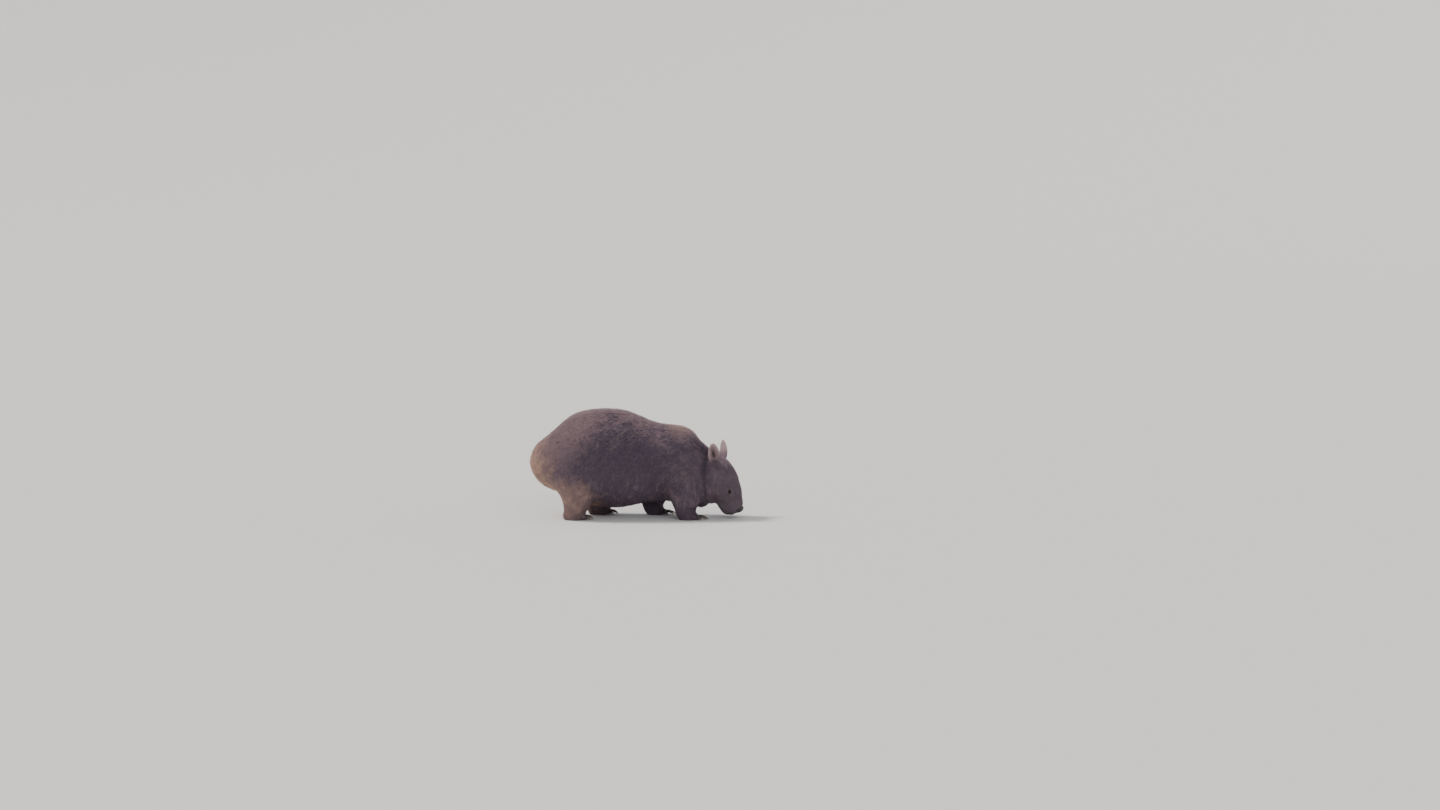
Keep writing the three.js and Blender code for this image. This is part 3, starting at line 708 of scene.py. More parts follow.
def unwrap(skin, used):
    """Flat places for the corners of the used triangles: pieces of skin that face one way, side by side."""
    corner = skin.points[skin.faces]
    facing = skin.normals[skin.faces].mean(axis=1)
    axis = np.abs(facing).argmax(axis=1)
    sign = np.take_along_axis(facing, axis[:, None], 1)[:, 0] > 0
    middle = corner.mean(axis=1)
    zone = skin.shares[skin.faces].mean(axis=1).argmax(axis=1)
    right, rear = middle[:, 1] < 0, middle[:, 0] < -0.04
    limb = np.isin(zone, [ZONES.index(name) for name in ("haunch", "shin", "foot", "ear_back", "ear_cup")])
    chart = ((zone * 3 + axis) * 2 + sign) * 4 + limb * (right * 2 + rear)
    flat = np.empty((len(skin.faces), 3, 2))
    for number, kept in enumerate(([1, 2], [0, 2], [0, 1])):
        rows = axis == number
        flat[rows] = corner[rows][:, :, kept]
    boxes = []
    for number in np.unique(chart[used]):
        rows = used & (chart == number)
        low, high = flat[rows].min(axis=(0, 1)), flat[rows].max(axis=(0, 1))
        boxes.append((number, low, high - low))
    boxes.sort(key=lambda box: -box[2][1])
    margin, scale, start, end = 4 * MM, 4.0, 0.004, 0.996  # the scale is lowered until all fits
    while True:
        left, bottom, tall, places = start, start, 0.0, {}
        for number, low, size in boxes:
            wide, high = (size + margin) * scale
            if left + wide > end:
                left, bottom, tall = start, bottom + tall, 0.0
            tall = max(tall, high)
            places[number] = (left - low[0] * scale, bottom - low[1] * scale)
            left += wide
        if bottom + tall < end and max(size[0] for _, _, size in boxes) * scale < 0.98:
            break
        scale *= 0.97
    for number, shift in places.items():
        flat[chart == number] = flat[chart == number] * scale + shift
    return flat


def neighbours_first(places):
    """An order that goes through small cubes inside larger ones, so that even steps along it spread out."""
    cells = ((places - places.min(axis=0)) / np.ptp(places, axis=0).max() * 1023).astype(np.int64)
    code = sum(((cells[:, axis] >> bit) & 1) << (3 * bit + axis) for bit in range(10) for axis in range(3))
    return np.argsort(code, kind="stable")


def roots_on(skin, density, share, random):
    """Places where tufts grow: triangles and weights of their corners, evenly spread for the density."""
    area = np.linalg.norm(face_normals(skin.points, skin.faces), axis=1) / 2 / (10 * MM) ** 2
    order = neighbours_first(skin.points[skin.faces].mean(axis=1))
    steps = np.cumsum((area * density[skin.faces].mean(axis=1) * share)[order])
    total = int(steps[-1])
    spots = (np.arange(total) + random.uniform(0.2, 0.8, total)) / total * steps[-1]
    picks = order[np.searchsorted(steps, spots * (1 - 1e-9))]
    first, second = np.sqrt(random.uniform(0, 1, total)), random.uniform(0, 1, total)
    return picks, np.stack([1 - first, first * (1 - second), first * second], 1)


class Comb:
    """Carries places along the skin and raises them over it."""

    def __init__(self, skin, reach):
        self.skin, self.reach = skin, reach
        self.tree, self.lie = skin.tree(), lie_of_coat(skin)

    def over(self, points, share, lift, least=0.0):
        """The nearest places on the skin, the same raised by a share of the reach, and the lie there."""
        places, _, index = laid_on(self.tree, points)
        corners, fields = self.skin.faces[index], (self.skin.normals, self.reach, self.lie)
        normals, reach, lie = (values[corners].mean(axis=1) for values in fields)
        return places, places + normals * np.maximum(share * reach * lift, least)[:, None], lie


def tuft_arrays(path, width, side, flat):
    """Closed tufts of three sides: locks that swell from root to bend, or spikes that taper from the root."""
    count, bent = len(path), path.shape[1] == 3
    ahead = unit(path[:, -1] - path[:, 0])
    side = unit(flattened(side, ahead))
    up = np.cross(side, ahead)
    section = TUFT_SECTION[None, :, :1] * side[:, None] + TUFT_SECTION[None, :, 1:] * up[:, None]
    widest = path[:, -2, None] + width[:, None, None] * section
    points = np.concatenate([widest, path[:, -1:], path[:, :1]], axis=1)
    low, faces, patch = (0.5 if bent else 0.12), [], []
    for n in range(3):
        m, left, right = (n + 1) % 3, n / 3, (n + 1) / 3
        faces.append((n, m, 3))
        patch.append(((left, low), (right, low), ((left + right) / 2, 1.0)))
        if bent:
            faces.append((m, n, 4))
            patch.append(((right, low), (left, low), ((left + right) / 2, 0.0)))
    if not bent:
        points = points[:, :4]
        faces.append((2, 1, 0))
        patch.append(((0.6, 0.0), (0.4, 0.0), (0.5, low)))
    # along runs from root to tip and also sets the painted shade towards the root.
    along = [0.5, 0.5, 0.5, 1.0, 0.0] if bent else [0.35, 0.35, 0.35, 1.0]
    size = points.shape[1]
    all_faces = (np.array(faces)[None] + size * np.arange(count)[:, None, None]).reshape(-1, 3)
    places = (flat[:, None, None] + PATCH * (np.array(patch)[None] - 0.5)).reshape(-1, 2)
    return points.reshape(-1, 3), all_faces, places, np.tile(along, count), size


def grown_tufts(comb, picks, weights, settings, random, fine):
    """Paths, widths and sideways directions of the tufts that grow at the picked places."""
    skin = comb.skin
    corners = skin.faces[picks]
    root, normal, lie, length, width = (
        np.einsum("ij,ij...->i...", weights, values[corners])
        for values in (skin.points, skin.normals, comb.lie, skin.coat(LENGTH) * MM, skin.coat(WIDTH) * MM)
    )
    rim = 4 * skin.part("ear_back") * skin.part("ear_cup")
    length *= settings.length * random.uniform(*SIZES, len(root)) * (1 + 0.6 * rim[corners].mean(axis=1))
    width *= random.uniform(*SIZES, len(root))
    stray = random.uniform(0, 1, len(root)) > LYING
    lift = MEAN_LIFT + 0.06 * waves(root, 26 * MM, 5) + random.uniform(-0.14, 0.1, len(root)) + 0.2 * stray
    short = random.uniform(0, 1, len(root)) < UNDERCOAT
    lift *= np.where(short, random.uniform(0.5, 0.85, len(root)), 1.0)
    turn = random.normal(0, 0.2, len(root)) * (1 + 0.8 * stray)
    normal = unit(normal)
    lie = unit(unit(lie) + np.cross(normal, lie) * turn[:, None])

    seeds = random.choice(len(root), max(len(root) // TUFTS_IN_CLUMP, 1), replace=False)
    clumps = KDTree(len(seeds))
    for number, seed in enumerate(seeds):
        clumps.insert(Vector(root[seed]), number)
    clumps.balance()
    pull = flattened(root[seeds[[clumps.find(Vector(point))[1] for point in root]]] - root, normal)
    far = np.linalg.norm(pull, axis=1, keepdims=True)
    pull = pull / np.maximum(far, 1e-9) * np.minimum(far, CLUMP_PULL * length[:, None])

    if fine:
        _, tip, _ = comb.over(root + lie * length[:, None] * 0.92 + pull * 0.5, 1, lift, 0.25 * MM)
        path = np.stack([root - normal * 0.35 * MM, tip], 1)
    else:
        place, bend, ahead = comb.over(root + lie * length[:, None] * 0.45 + pull * 0.2, 0.74, lift)
        ahead = unit(ahead + 0.6 * lie)
        _, tip, _ = comb.over(place + ahead * length[:, None] * 0.5 + pull * 0.4, 1, lift)
        path = np.stack([root - normal * 0.8 * MM, bend, tip], 1)
    path[:, :, 2] = np.maximum(path[:, :, 2], 0.4 * MM)
    return path, width, np.cross(lie, normal)


def ear_marks(skin):
    """How far points lie inside an ear's rim, 1 in the slit of the cup where painted shade goes, and the
    ear's pale part.
    """
    hollow, pale = np.zeros(len(skin.points)), np.zeros(len(skin.points))
    for name in EARS:
        points, _ = solid_arrays(name)
        middle = points.mean(axis=0)
        axes = np.linalg.svd(points - middle, full_matrices=False)[2].T
        axes[:, 0] *= np.sign(axes[2, 0])
        inside = (points - middle) @ axes
        low, high = inside.min(axis=0), inside.max(axis=0)
        local = ((skin.points - middle) @ axes - (low + high) / 2) / ((high - low) / 2)
        near = np.abs(local).max(axis=1) < 1.5
        cup = 0.5 * ramp(np.hypot(local[:, 1] / 0.86, local[:, 0] / 0.95), 1.0, 0.55)
        # The slit is painted shade in the ear's opening.
        slit = 0.5 * ramp(np.hypot(local[:, 1] / 0.5, (local[:, 0] + 0.1) / 0.85), 1.0, 0.0)
        hollow = np.maximum(hollow, near * (cup + slit))
        pale = np.maximum(pale, near * ramp(local[:, 0], -0.75, 0.25))
    return hollow * skin.part("ear_cup"), pale * skin.part("ear_back", "ear_cup")


# Materials


def node_group(name, kind, inputs, outputs):
    """A node group, with the nodes of its inputs and outputs."""
    group = bpy.data.node_groups.new(name, kind)
    for in_out, sockets in (("INPUT", inputs), ("OUTPUT", outputs)):
        for label, value in sockets.items():
            group.interface.new_socket(name=label, in_out=in_out, socket_type=f"NodeSocket{value}")
    return group, group.nodes.new("NodeGroupInput"), group.nodes.new("NodeGroupOutput")


class Wiring:
    """Short ways to place nodes in one tree, each of which gives the output to go on with."""

    def __init__(self, tree):
        self.tree = tree

    def feed(self, node, inputs):
        """Links or sets a node's inputs by name or number, where a colour is three numbers."""
        for name, source in inputs.items():
            socket = node.inputs[name]
            if isinstance(source, bpy.types.NodeSocket):
                self.tree.links.new(source, socket)
            else:
                socket.default_value = (*source, 1.0) if socket.type == "RGBA" else source

    def node(self, kind, inputs=(), output=0, **values):
        made = self.tree.nodes.new(kind)
        for name, value in values.items():
            setattr(made, name, value)
        self.feed(made, dict(inputs))
        return made.outputs[output]

    def math(self, operation, *sources):
        return self.node("ShaderNodeMath", enumerate(sources), operation=operation)

    def plus(self, first, second):
        return self.math("ADD", first, second)

    def times(self, first, second):
        return self.math("MULTIPLY", first, second)

    def mix(self, share, first, second, blend="MIX"):
        inputs = {0: share, 6: first, 7: second}
        return self.node("ShaderNodeMix", inputs, 2, data_type="RGBA", blend_type=blend)

    def noise(self, vector, scale, detail, roughness=0.5):
        inputs = {"Vector": vector, "Scale": scale, "Detail": detail, "Roughness": roughness}
        return self.node("ShaderNodeTexNoise", inputs, "Fac")

    def span(self, value, low, high, to_low=0.0, to_high=1.0):
        inputs = enumerate((value, low, high, to_low, to_high))
        return self.node("ShaderNodeMapRange", inputs, interpolation_type="SMOOTHSTEP")

    def value(self, name):
        return self.node("ShaderNodeAttribute", output="Fac", attribute_name=name)

    def place(self):
        return self.node("ShaderNodeTexCoord", output="Object")

    def patch(self, vector, centre, radii, core, ragged):
        """A soft oval: 1 inside its core, 0 past its radii, with an edge that a ragged value moves."""
        inputs = {"Vector": vector, "Location": centre, "Scale": radii}
        local = self.node("ShaderNodeMapping", inputs, vector_type="TEXTURE")
        length = self.node("ShaderNodeVectorMath", {0: local}, "Value", operation="LENGTH")
        return self.span(self.plus(length, ragged), 1.0, core)

    def bump(self, height, strength, distance):
        return self.node("ShaderNodeBump", {"Height": height, "Strength": strength, "Distance": distance})


def dimmed(colour, share):
    return [share * value for value in colour]


def markings_group(coat):
    """Colours of skin and coat by the place on the body, with painted sunlight on the top of the back, the
    hip, the back of the rump and the nape, and painted shade on the flanks, behind the hip and in the fold
    between head and neck.
    """
    inputs = {"Vector": "Vector", "Tip": "Float", "Strand": "Float", "Ear": "Float"}
    group, start, end = node_group("Wombat markings", "ShaderNodeTree", inputs, {"Color": "Color"})
    w = Wiring(group)
    vector, tip, strand, ear = start.outputs[:4]
    height = w.node("ShaderNodeSeparateXYZ", {0: vector}, "Z")
    broad, small = w.noise(vector, 26, 3, 0.6), w.noise(vector, 130, 2)
    streaks = w.noise(w.node("ShaderNodeMapping", {"Vector": vector, "Scale": (1.0, 1.0, 0.22)}), 75, 2)

    # Painted sunlight: the hair gets lighter towards the top of the back.
    sunlit_top = w.span(w.plus(height, w.times(broad, 0.09)), 0.30, 0.47)
    ragged = w.times(w.math("SUBTRACT", broad, 0.5), 0.9)
    lightness = w.plus(w.times(broad, 0.9), w.times(sunlit_top, 0.3))
    for centre, radii, core, change in (
        ((-0.31, 0, 0.34), (0.21, 0.3, 0.23), 0.3, 0.43),  # rump: painted sunlight on the hip
        ((-0.09, 0, 0.35), (0.1, 0.3, 0.09), 0.1, -0.35),  # saddle: painted shade behind the hip
        ((-0.03, 0, 0.19), (0.25, 0.5, 0.24), 0.4, -0.3),  # flank: painted shade on the side
        ((0.17, 0, 0.22), (0.1, 0.3, 0.13), 0.2, 0.1),  # shoulder
        ((0.35, 0, 0.19), (0.13, 0.3, 0.15), 0.2, 0.12),  # forehead
    ):
        lightness = w.plus(lightness, w.times(w.patch(vector, centre, radii, core, ragged), change))
    lightness = w.plus(lightness, w.times(w.math("SUBTRACT", strand, 0.5), 0.35))
    colour = w.mix(w.span(lightness, 0.2, 1.1), coat.dark, coat.brown)
    # Pale tips: more on some strands at random, and more on the top of the back as painted sunlight.
    tips = w.span(w.plus(strand, w.times(sunlit_top, 0.45)), 0.45, 1.3)

    low_flank = w.times(w.span(height, 0.22, 0.12), w.span(streaks, 0.52, 0.68))
    back, thigh, nape, fold, face, muzzle = (
        w.patch(vector, centre, radii, core, edge)
        for centre, radii, core, edge in (
            ((-0.47, 0, 0.19), (0.21, 0.3, 0.22), 0.25, ragged),
            ((-0.27, 0, 0.07), (0.17, 0.22, 0.18), 0.2, ragged),
            ((0.185, -0.01, 0.375), (0.085, 0.2, 0.075), 0.1, ragged),
            ((0.275, 0, 0.21), (0.03, 0.3, 0.12), 0.2, ragged),
            (tuple(from_head((45, 0, -30))), (0.13, 0.13, 0.14), 0.2, ragged),
            (tuple(from_head((82, 0, -22))), (0.055, 0.055, 0.055), 0.5, 0.0),
        )
    )
    for share, strength, tint in (
        (tips, w.span(tip, 0.3, 1.0, 0.0, 0.5), coat.pale),
        (low_flank, 0.18, coat.pale),
        # On the back of the rump the tan is painted sunlight; on the thighs it is the hair's colour.
        (back, w.span(small, 0.2, 0.8, 0.7 * 0.85, 0.85), coat.tan),
        (thigh, w.span(small, 0.2, 0.8, 0.7 * 0.9, 0.9), coat.tan),
        # Painted sunlight: a pale straw patch on the nape.
        (nape, w.span(small, 0.25, 0.75, 0.25, 0.7), coat.sunlit_nape),
        # Painted shade: a dark line in the fold between head and neck.
        (fold, 0.55, dimmed(coat.dark, 0.6)),
        (face, 0.6, coat.face),
        (muzzle, 0.5, dimmed(coat.face, 0.95)),
        (w.span(height, 0.06, 0.01), 0.35, coat.dark),  # feet
        (ear, 0.7, coat.pale),
    ):
        colour = w.mix(w.times(share, strength), colour, tint)
    w.feed(end, {"Color": colour})
    return group


def markings(w, coat, tip, strand, ear):
    group = bpy.data.node_groups.get("Wombat markings") or markings_group(coat)
    inputs = {"Vector": w.place(), "Tip": tip, "Strand": strand, "Ear": ear}
    return w.node("ShaderNodeGroup", inputs, "Color", node_tree=group)


def material(name, wired, *settings):
    """A material whose shader has the inputs that a function wires."""
    made = bpy.data.materials.new(name)
    made.use_nodes = True
    w = Wiring(made.node_tree)
    w.feed(made.node_tree.nodes["Principled BSDF"], wired(w, *settings))
    return made


def skin_inputs(w, coat):
    vector, bare, hollow = w.place(), w.value("bare"), w.value("hollow")
    furred = w.mix(1.0, markings(w, coat, 0.1, 0.35, w.value("ear")), (0.92, 0.9, 0.9), "MULTIPLY")
    inputs = {"Vector": vector, "Scale": 620}
    cells = w.node("ShaderNodeTexVoronoi", inputs, "Distance", feature="DISTANCE_TO_EDGE")
    pebble = w.span(cells, 0.0, 0.16)
    mottle = w.span(w.noise(vector, 160, 3), 0.3, 0.7)
    leather = w.mix(w.times(pebble, mottle), dimmed(coat.bare, 0.6), dimmed(coat.bare, 1.9))
    flesh = w.mix(mottle, (0.15, 0.098, 0.095), (0.21, 0.145, 0.14))
    colour = w.mix(w.span(hollow, 0.05, 0.5), furred, flesh)
    colour = w.mix(bare, colour, leather)
    # Painted shade: near black deep in the ear's slit and in the nostrils.
    colour = w.mix(w.span(hollow, 0.5, 0.95), colour, (0.02, 0.014, 0.014))
    height = w.plus(w.times(w.noise(vector, 900, 2), 0.4), w.times(pebble, bare))
    roughness, normal = w.span(bare, 0.0, 1.0, 0.82, 0.46), w.bump(height, 0.6, 0.4 * MM)
    return {"Base Color": colour, "Roughness": roughness, "Normal": normal, "Specular IOR Level": 0.35}


def hair_inputs(w, coat):
    along, strand = w.value("along"), w.value("strand")
    # Painted shade: each tuft darkens towards its root, deep in the coat.
    shade = w.span(along, 0.0, 0.7, 0.8, 1.0)
    root_shade = w.node("ShaderNodeCombineXYZ", {0: shade, 1: shade, 2: shade})
    colour = w.mix(1.0, markings(w, coat, along, strand, w.value("ear")), root_shade, "MULTIPLY")
    roughness = w.span(strand, 0.0, 1.0, 0.55, 0.78)
    return {"Base Color": colour, "Roughness": roughness, "Specular IOR Level": 0.3}


def eye_inputs(w):
    away = w.value("away")
    spokes = w.node("ShaderNodeCombineXYZ", {0: w.times(w.value("around"), 9.0), 1: w.times(away, 1.2)})
    iris = w.mix(w.span(w.noise(spokes, 3.0, 3), 0.3, 0.7), (0.010, 0.005, 0.003), (0.034, 0.016, 0.009))
    colour = w.mix(w.span(away, 0.30, 0.36), (0.001, 0.001, 0.001), iris)
    colour = w.mix(w.span(away, 0.72, 0.86), colour, (0.004, 0.003, 0.003))
    colour = w.mix(w.span(away, 1.02, 1.25), colour, (0.10, 0.07, 0.065))
    roughness = w.span(away, 0.8, 1.3, 0.05, 0.2)
    return {"Base Color": colour, "Roughness": roughness, "Specular IOR Level": 0.22}


def horn_inputs(w):
    along, grain = w.value("along"), w.noise(w.place(), 420, 3)
    colour = w.mix(w.span(along, 0.1, 1.0), (0.028, 0.022, 0.019), (0.15, 0.115, 0.085))
    colour = w.mix(w.times(w.span(grain, 0.45, 0.7), 0.5), colour, (0.055, 0.042, 0.034))
    rings = w.math("SINE", w.times(along, 60.0))
    roughness = w.span(grain, 0.3, 0.75, 0.38, 0.6)
    normal = w.bump(w.plus(w.times(rings, 0.25), grain), 0.35, 0.2 * MM)
    return {"Base Color": colour, "Roughness": roughness, "Normal": normal}


def whisker_inputs(w):
    vector = w.place()
    colour = w.mix(w.span(w.noise(vector, 60, 1), 0.35, 0.65), (0.03, 0.024, 0.022), (0.16, 0.13, 0.11))
    return {"Base Color": colour, "Roughness": w.span(w.noise(vector, 300, 1), 0.3, 0.7, 0.3, 0.45)}


def floor_inputs(w):
    speckle = w.span(w.noise(w.place(), 120, 3), 0.3, 0.7)
    colour = w.mix(speckle, (0.70, 0.69, 0.665), (0.73, 0.72, 0.695))
    return {"Base Color": colour, "Roughness": w.span(speckle, 0.0, 1.0, 0.8, 0.9)}


# What the pieces share is worked out once and kept for the operators that follow
WORKSHOP = {}


def settled(piece, slot, *nodes):
    """A finished piece rides on the animal's one body and stands for its nodes."""
    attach(piece, "root")
    if nodes:
        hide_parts(*nodes)


class WOMBAT_OT_skin(bpy.types.Operator):
    """Make the skin that replaces all flesh, with lids, lips, nostrils and folds"""

    bl_idname = "wombat.skin"
    bl_label = "Skin"

    def execute(self, context):
        shape = context.scene.wombat_shape
        skin, solids = core_skin(shape)
        skin = pierced(sculpted(skin, shape), shape)
        bare, (hollow, ear) = bare_share(skin, shape), ear_marks(skin)
        # The nostrils' hollow carries painted shade into them.
        hollow = np.maximum(hollow, skin.part("nose") * ramp(from_line(skin.points, NOSTRIL), 5.6, 4.2))
        marks = {"bare": bare, "ear": ear, "hollow": hollow}
        look = material("wombat skin", skin_inputs, context.scene.wombat_coat)
        settled(object_of("skin", skin.points, skin.faces, look, **marks), "coat", *FLESH)
        depth = skin.coat(DEPTH) * MM
        reach = np.clip(depth_under(skin.points, solids), 0.6 * depth, 1.4 * depth)
        WORKSHOP.update(marks, skin=skin, reach=reach)
        return {"FINISHED"}


class WOMBAT_OT_coat(bpy.types.Operator):
    """Grow the coat's tufts over the skin, in pieces that each reach all over the body"""

    bl_idname = "wombat.coat"
    bl_label = "Coat"

    def execute(self, context):
        settings = context.scene.wombat_coat
        skin, bare, hollow = WORKSHOP["skin"], WORKSHOP["bare"], WORKSHOP["hollow"]
        comb, hair = Comb(skin, WORKSHOP["reach"]), material("wombat hair", hair_inputs, settings)
        random = np.random.default_rng(settings.seed)
        density = skin.coat(DENSITY) * (1 - ramp(bare, 0.25, 0.75)) * (1 - 0.7 * hollow)
        fineness, ear = ramp(skin.coat(LENGTH), *FINE_LENGTH), WORKSHOP["ear"] * (1 - 0.8 * hollow)
        share = settings.density * 1.0
        kinds = (("coat", density * (1 - fineness), 6), ("fine_coat", density * fineness, 4))
        for label, part, tuft_faces in kinds:
            flat = unwrap(skin, part[skin.faces].mean(axis=1) > 0)
            picks, weights = roots_on(skin, part, share, random)
            path, width, side = grown_tufts(comb, picks, weights, settings, random, label == "fine_coat")
            place = np.einsum("ij,ijk->ik", weights, flat[picks])
            order = random.permutation(len(picks))
            pieces = math.ceil(len(picks) * tuft_faces / PIECE_FACES)
            print(label, len(picks), "tufts in", pieces, "pieces")
            for number in range(pieces):
                rows = order[number::pieces]
                picked = (field[rows] for field in (path, width, side, place))
                points, faces, flats, along, size = tuft_arrays(*picked)
                values = {
                    "along": along,
                    "strand": np.repeat(random.uniform(0, 1, len(rows)), size),
                    "ear": np.repeat(ear[skin.faces[picks[rows], 0]], size),
                }
                made = object_of(f"{label}_{number + 1}", points, faces, hair, **values)
                layer = made.data.uv_layers.new(name="OFBake")
                layer.uv.foreach_set("vector", np.ascontiguousarray(flats, np.float32).ravel())
                settled(made, "coat")
        return {"FINISHED"}


class WOMBAT_OT_eyes(bpy.types.Operator):
    """Make the two eyeballs, each with a raised clear front over a dark iris"""

    bl_idname = "wombat.eyes"
    bl_label = "Eyes"

    def execute(self, context):
        radius = context.scene.wombat_shape.eye_radius
        wet = material("wombat eye", eye_inputs)
        for name in EYES:
            centre, axes = eye_frame(name)
            points, faces = ball(np.zeros(3), radius, 40)
            away = np.arctan2(np.hypot(points[:, 0], points[:, 1]), points[:, 2])
            points = points * (1 + 0.045 * ramp(away, 0.75, 0.2))[:, None]
            values = {"away": away, "around": np.abs(np.arctan2(points[:, 1], points[:, 0]))}
            places = turned_out(centre + points @ axes.T, faces)
            settled(object_of(f"{name}ball", *places, wet, **values), "eye", name)
        return {"FINISHED"}


class WOMBAT_OT_claws(bpy.types.Operator):
    """Make a smooth arched claw for every toe that has one"""

    bl_idname = "wombat.claws"
    bl_label = "Claws"

    def execute(self, context):
        horn = material("claw horn", horn_inputs)
        for name in CLAWS:
            root, tip = claw_line(name)
            ahead = unit(tip - root)
            start, end = root - 5 * MM * ahead + [0, 0, -0.5 * MM], tip + [0, 0, 0.2 * MM]
            crest = 0.42 * start + 0.58 * end
            crest[2] = root[2] + 2.6 * MM
            t = np.linspace(0, 1, 15)[:, None]
            path = (1 - t) ** 2 * start + 2 * t * (1 - t) * crest + t * t * end
            taper = np.sqrt(np.clip(1 - 0.95 * t[:, 0] ** 1.7, 0, 1))
            across = np.cross(ahead, [0, 0, 1.0])
            points, faces = tube(path, across, 3.8 * MM * taper, 4.3 * MM * taper, 16)
            along = np.append(np.repeat(t[:, 0], 16), [0, 1])
            settled(object_of(f"{name}_horn", points, faces, horn, along=along), "claw", name)
        return {"FINISHED"}


def whisker_tree(whisker):
    """Geometry nodes that turn lines into whiskers that taper to their tips."""
    inputs = {"Paths": "Geometry", "Root Width": "Float", "Sides": "Int"}
    tree, start, end = node_group("Whiskers", "GeometryNodeTree", inputs, {"Whiskers": "Geometry"})
    w = Wiring(tree)
    paths, width, sides = start.outputs[:3]
    along = w.node("GeometryNodeSplineParameter", output="Factor")
    taper = w.node("ShaderNodeMapRange", {"Value": along, "To Min": 1.0, "To Max": 0.12})
    curve = w.node("GeometryNodeMeshToCurve", {"Mesh": paths})
    curve = w.node("GeometryNodeSetCurveRadius", {"Curve": curve, "Radius": taper})
    profile = w.node("GeometryNodeCurvePrimitiveCircle", {"Resolution": sides, "Radius": w.times(width, 0.5)})
    mesh = w.node("GeometryNodeCurveToMesh", {"Curve": curve, "Profile Curve": profile, "Fill Caps": True})
    mesh = w.node("GeometryNodeRealizeInstances", {"Geometry": mesh})
    mesh = w.node("GeometryNodeSetMaterial", {"Geometry": mesh, "Material": whisker})
    w.feed(end, {"Whiskers": mesh})
    return tree


CLEARANCE, SOFTNESS = 4 * MM, 5 * MM  # of whiskers over the floor, and of the bend that keeps them there


def whisker_paths(shape, random, tree):
    """Lines that leave the sides of the muzzle, the brows and the chin, and bend back under their weight."""
    paths = []
    for side in (-1, 1):
        rows = [(80 - 9 * column, 27 + 5 * column, -14 - 8 * row) for row in range(3) for column in range(4)]
        spots = [(spot, 1.0) for spot in rows]
        spots += [((6, 46, 10), 0.6), ((0, 45, 7), 0.5), ((52, 26, -64), 0.45)]
        for spot, share in spots:
            place = spot * np.array([1, side, 1]) + random.uniform(-1.6, 1.6, 3)
            (root,), (normal,), _ = laid_on(tree, [from_head(place)])
            lean = HEAD_TURN @ np.array([-0.55, 0.35 * side, -0.1]) + random.uniform(-0.15, 0.15, 3)
            outward = unit(normal + lean)
            length = shape.whisker_length * share * random.uniform(0.6, 1.0)
            bend = HEAD_TURN @ np.array([-0.5, 0, -0.1]) + [0, 0, -0.25]
            t = np.linspace(0, 1, 9)[:, None]
            path = root - normal * MM + outward * t * length + bend * t * t * length * 0.35
            path[:, 2] = CLEARANCE + SOFTNESS * np.log1p(np.exp((path[:, 2] - CLEARANCE) / SOFTNESS))
            paths.append(path)
    return paths


class WOMBAT_OT_whiskers(bpy.types.Operator):
    """Set whiskers in the muzzle, the brows and the chin"""

    bl_idname = "wombat.whiskers"
    bl_label = "Whiskers"

    def execute(self, context):
        shape, skin = context.scene.wombat_shape, WORKSHOP["skin"]
        paths = whisker_paths(shape, np.random.default_rng(11), skin.tree())
        mesh = bpy.data.meshes.new("whisker_paths")
        size = len(paths[0])
        links = [(size * n + k, size * n + k + 1) for n in range(len(paths)) for k in range(size - 1)]
        mesh.from_pydata(np.vstack(paths).tolist(), links, [])
        lines = placed("whisker_paths", mesh)
        nodes = lines.modifiers.new("Whiskers", "NODES")
        nodes.node_group = whisker_tree(material("whisker", whisker_inputs))
        inputs = [item for item in nodes.node_group.interface.items_tree if item.in_out == "INPUT"]
        sockets = {item.name: item.identifier for item in inputs}
        nodes[sockets["Root Width"]] = shape.whisker_width
        nodes[sockets["Sides"]] = 5
        swept = bpy.data.meshes.new_from_object(lines.evaluated_get(context.evaluated_depsgraph_get()))
        bpy.data.objects.remove(lines)
        swept.name = "whiskers"
        swept.shade_smooth()
        settled(placed("whiskers", swept), "coat")
        return {"FINISHED"}


def floor_mesh():
    """A round floor, flat under the wombat, whose rim sweeps up all round."""
    flat, sweep, rings, sides = 17.0, 30.0, 22, 128
    bend, turn = np.meshgrid(
        np.linspace(0, math.radians(48), rings), np.arange(sides) / sides * 2 * math.pi, indexing="ij"
    )
    reach, rise = flat + sweep * np.sin(bend), sweep * (1 - np.cos(bend))
    points = np.stack([reach * np.cos(turn), reach * np.sin(turn), rise], 2).reshape(-1, 3)
    inner = np.arange((rings - 1) * sides).reshape(-1, sides)
    after = np.roll(inner, -1, axis=1)
    wall = np.stack([after, inner, inner + sides, after + sides], 2).reshape(-1, 4)
    mesh = bpy.data.meshes.new("studio_floor")
    mesh.from_pydata(points.tolist(), [], [list(range(sides))] + wall.tolist())
    mesh.shade_smooth()
    return mesh


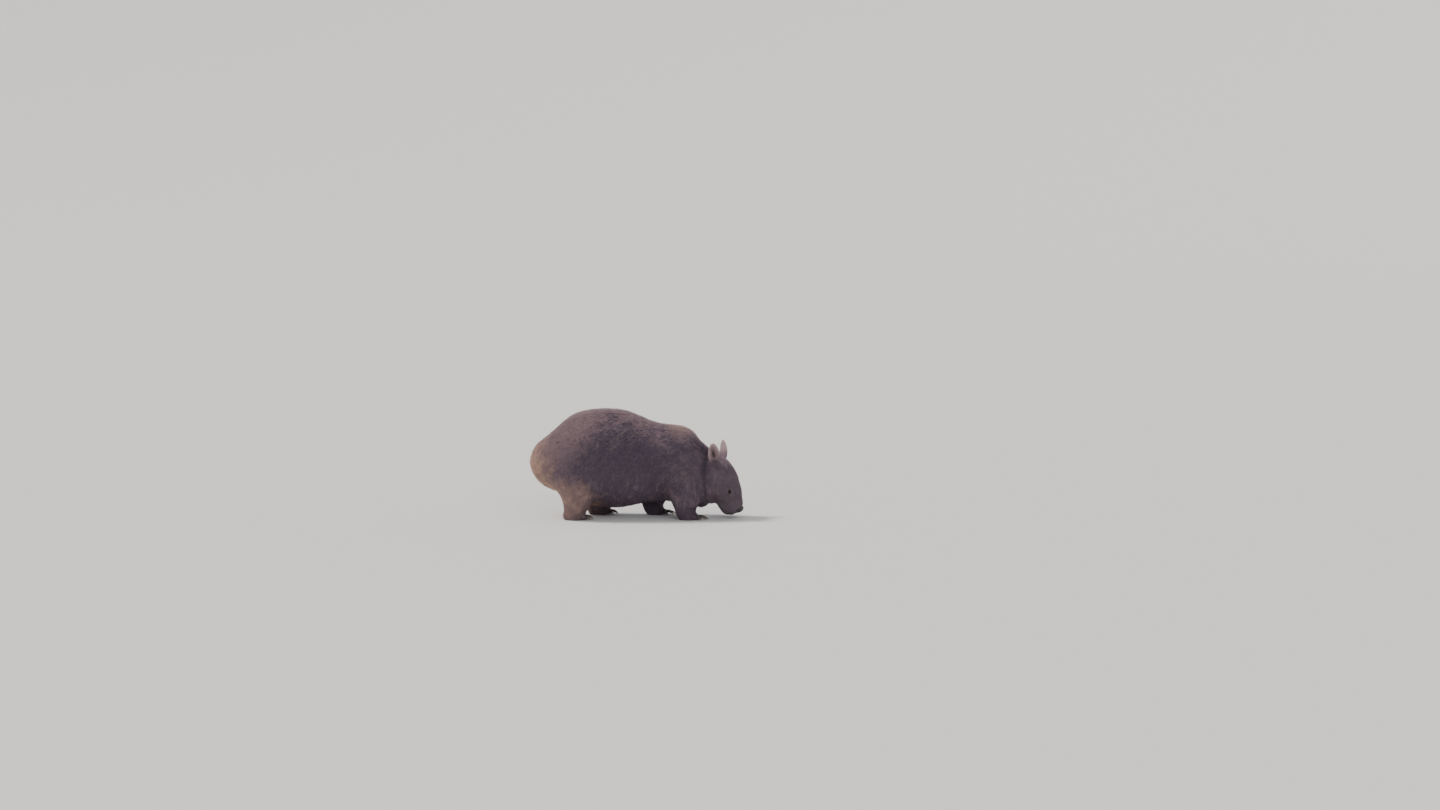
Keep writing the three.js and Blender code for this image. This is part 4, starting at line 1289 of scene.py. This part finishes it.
class WOMBAT_OT_stage(bpy.types.Operator):
    """Set the camera, a pale floor that sweeps up all round, and soft studio light"""

    bl_idname = "wombat.stage"
    bl_label = "Stage"

    def execute(self, context):
        scene = context.scene
        camera = bpy.data.cameras.new("camera")
        camera.lens, camera.sensor_width, camera.clip_end = CAMERA_LENS, 36, 200
        scene.camera = placed("camera", camera)
        scene.camera.location = CAMERA_PLACE
        scene.camera.rotation_euler = (math.pi / 2 - CAMERA_DROP, 0, 0)

        floor = placed("studio_floor", floor_mesh())
        floor.data.materials.append(material("pale floor", floor_inputs))

        world = bpy.data.worlds.new("studio")
        world.use_nodes = True
        background = world.node_tree.nodes["Background"]
        background.inputs["Color"].default_value = (0.93, 0.95, 1.0, 1.0)
        background.inputs["Strength"].default_value = 0.62
        scene.world = world
        for name, place, spread, strength, colour in (
            ("key", (-3.6, 1.0, 4.6), 14, 3.2, (1.0, 0.95, 0.9)),
            ("fill", (1.5, -5.0, 2.6), 22, 0.8, (0.95, 0.95, 1.0)),
        ):
            light = bpy.data.lights.new(name, "SUN")
            light.angle, light.energy, light.color = math.radians(spread), strength, colour
            placed(name, light).rotation_euler = Vector(place).to_track_quat("Z", "Y").to_euler()
        return {"FINISHED"}


OPERATORS = (
    WOMBAT_OT_stage,
    WOMBAT_OT_skin,
    WOMBAT_OT_coat,
    WOMBAT_OT_eyes,
    WOMBAT_OT_claws,
    WOMBAT_OT_whiskers,
)


class WOMBAT_PT_pieces(bpy.types.Panel):
    """Sizes, colours and the pieces of the wombat"""

    bl_label = "Wombat"
    bl_space_type = "VIEW_3D"
    bl_region_type = "UI"
    bl_category = "Wombat"

    def draw(self, context):
        for settings in (context.scene.wombat_shape, context.scene.wombat_coat):
            for name in settings.__annotations__:
                self.layout.prop(settings, name)
        for operator in OPERATORS:
            self.layout.operator(operator.bl_idname)


CLASSES = (WombatShape, WombatCoat, *OPERATORS, WOMBAT_PT_pieces)


def register():
    for item in CLASSES:
        bpy.utils.register_class(item)
    bpy.types.Scene.wombat_shape = PointerProperty(type=WombatShape)
    bpy.types.Scene.wombat_coat = PointerProperty(type=WombatCoat)


def unregister():
    del bpy.types.Scene.wombat_coat
    del bpy.types.Scene.wombat_shape
    for item in reversed(CLASSES):
        bpy.utils.unregister_class(item)


def main():
    register()
    bpy.ops.wombat.stage()
    bpy.ops.wombat.skin()
    bpy.ops.wombat.coat()
    bpy.ops.wombat.eyes()
    bpy.ops.wombat.claws()
    bpy.ops.wombat.whiskers()


if __name__ == "__main__":
    main()
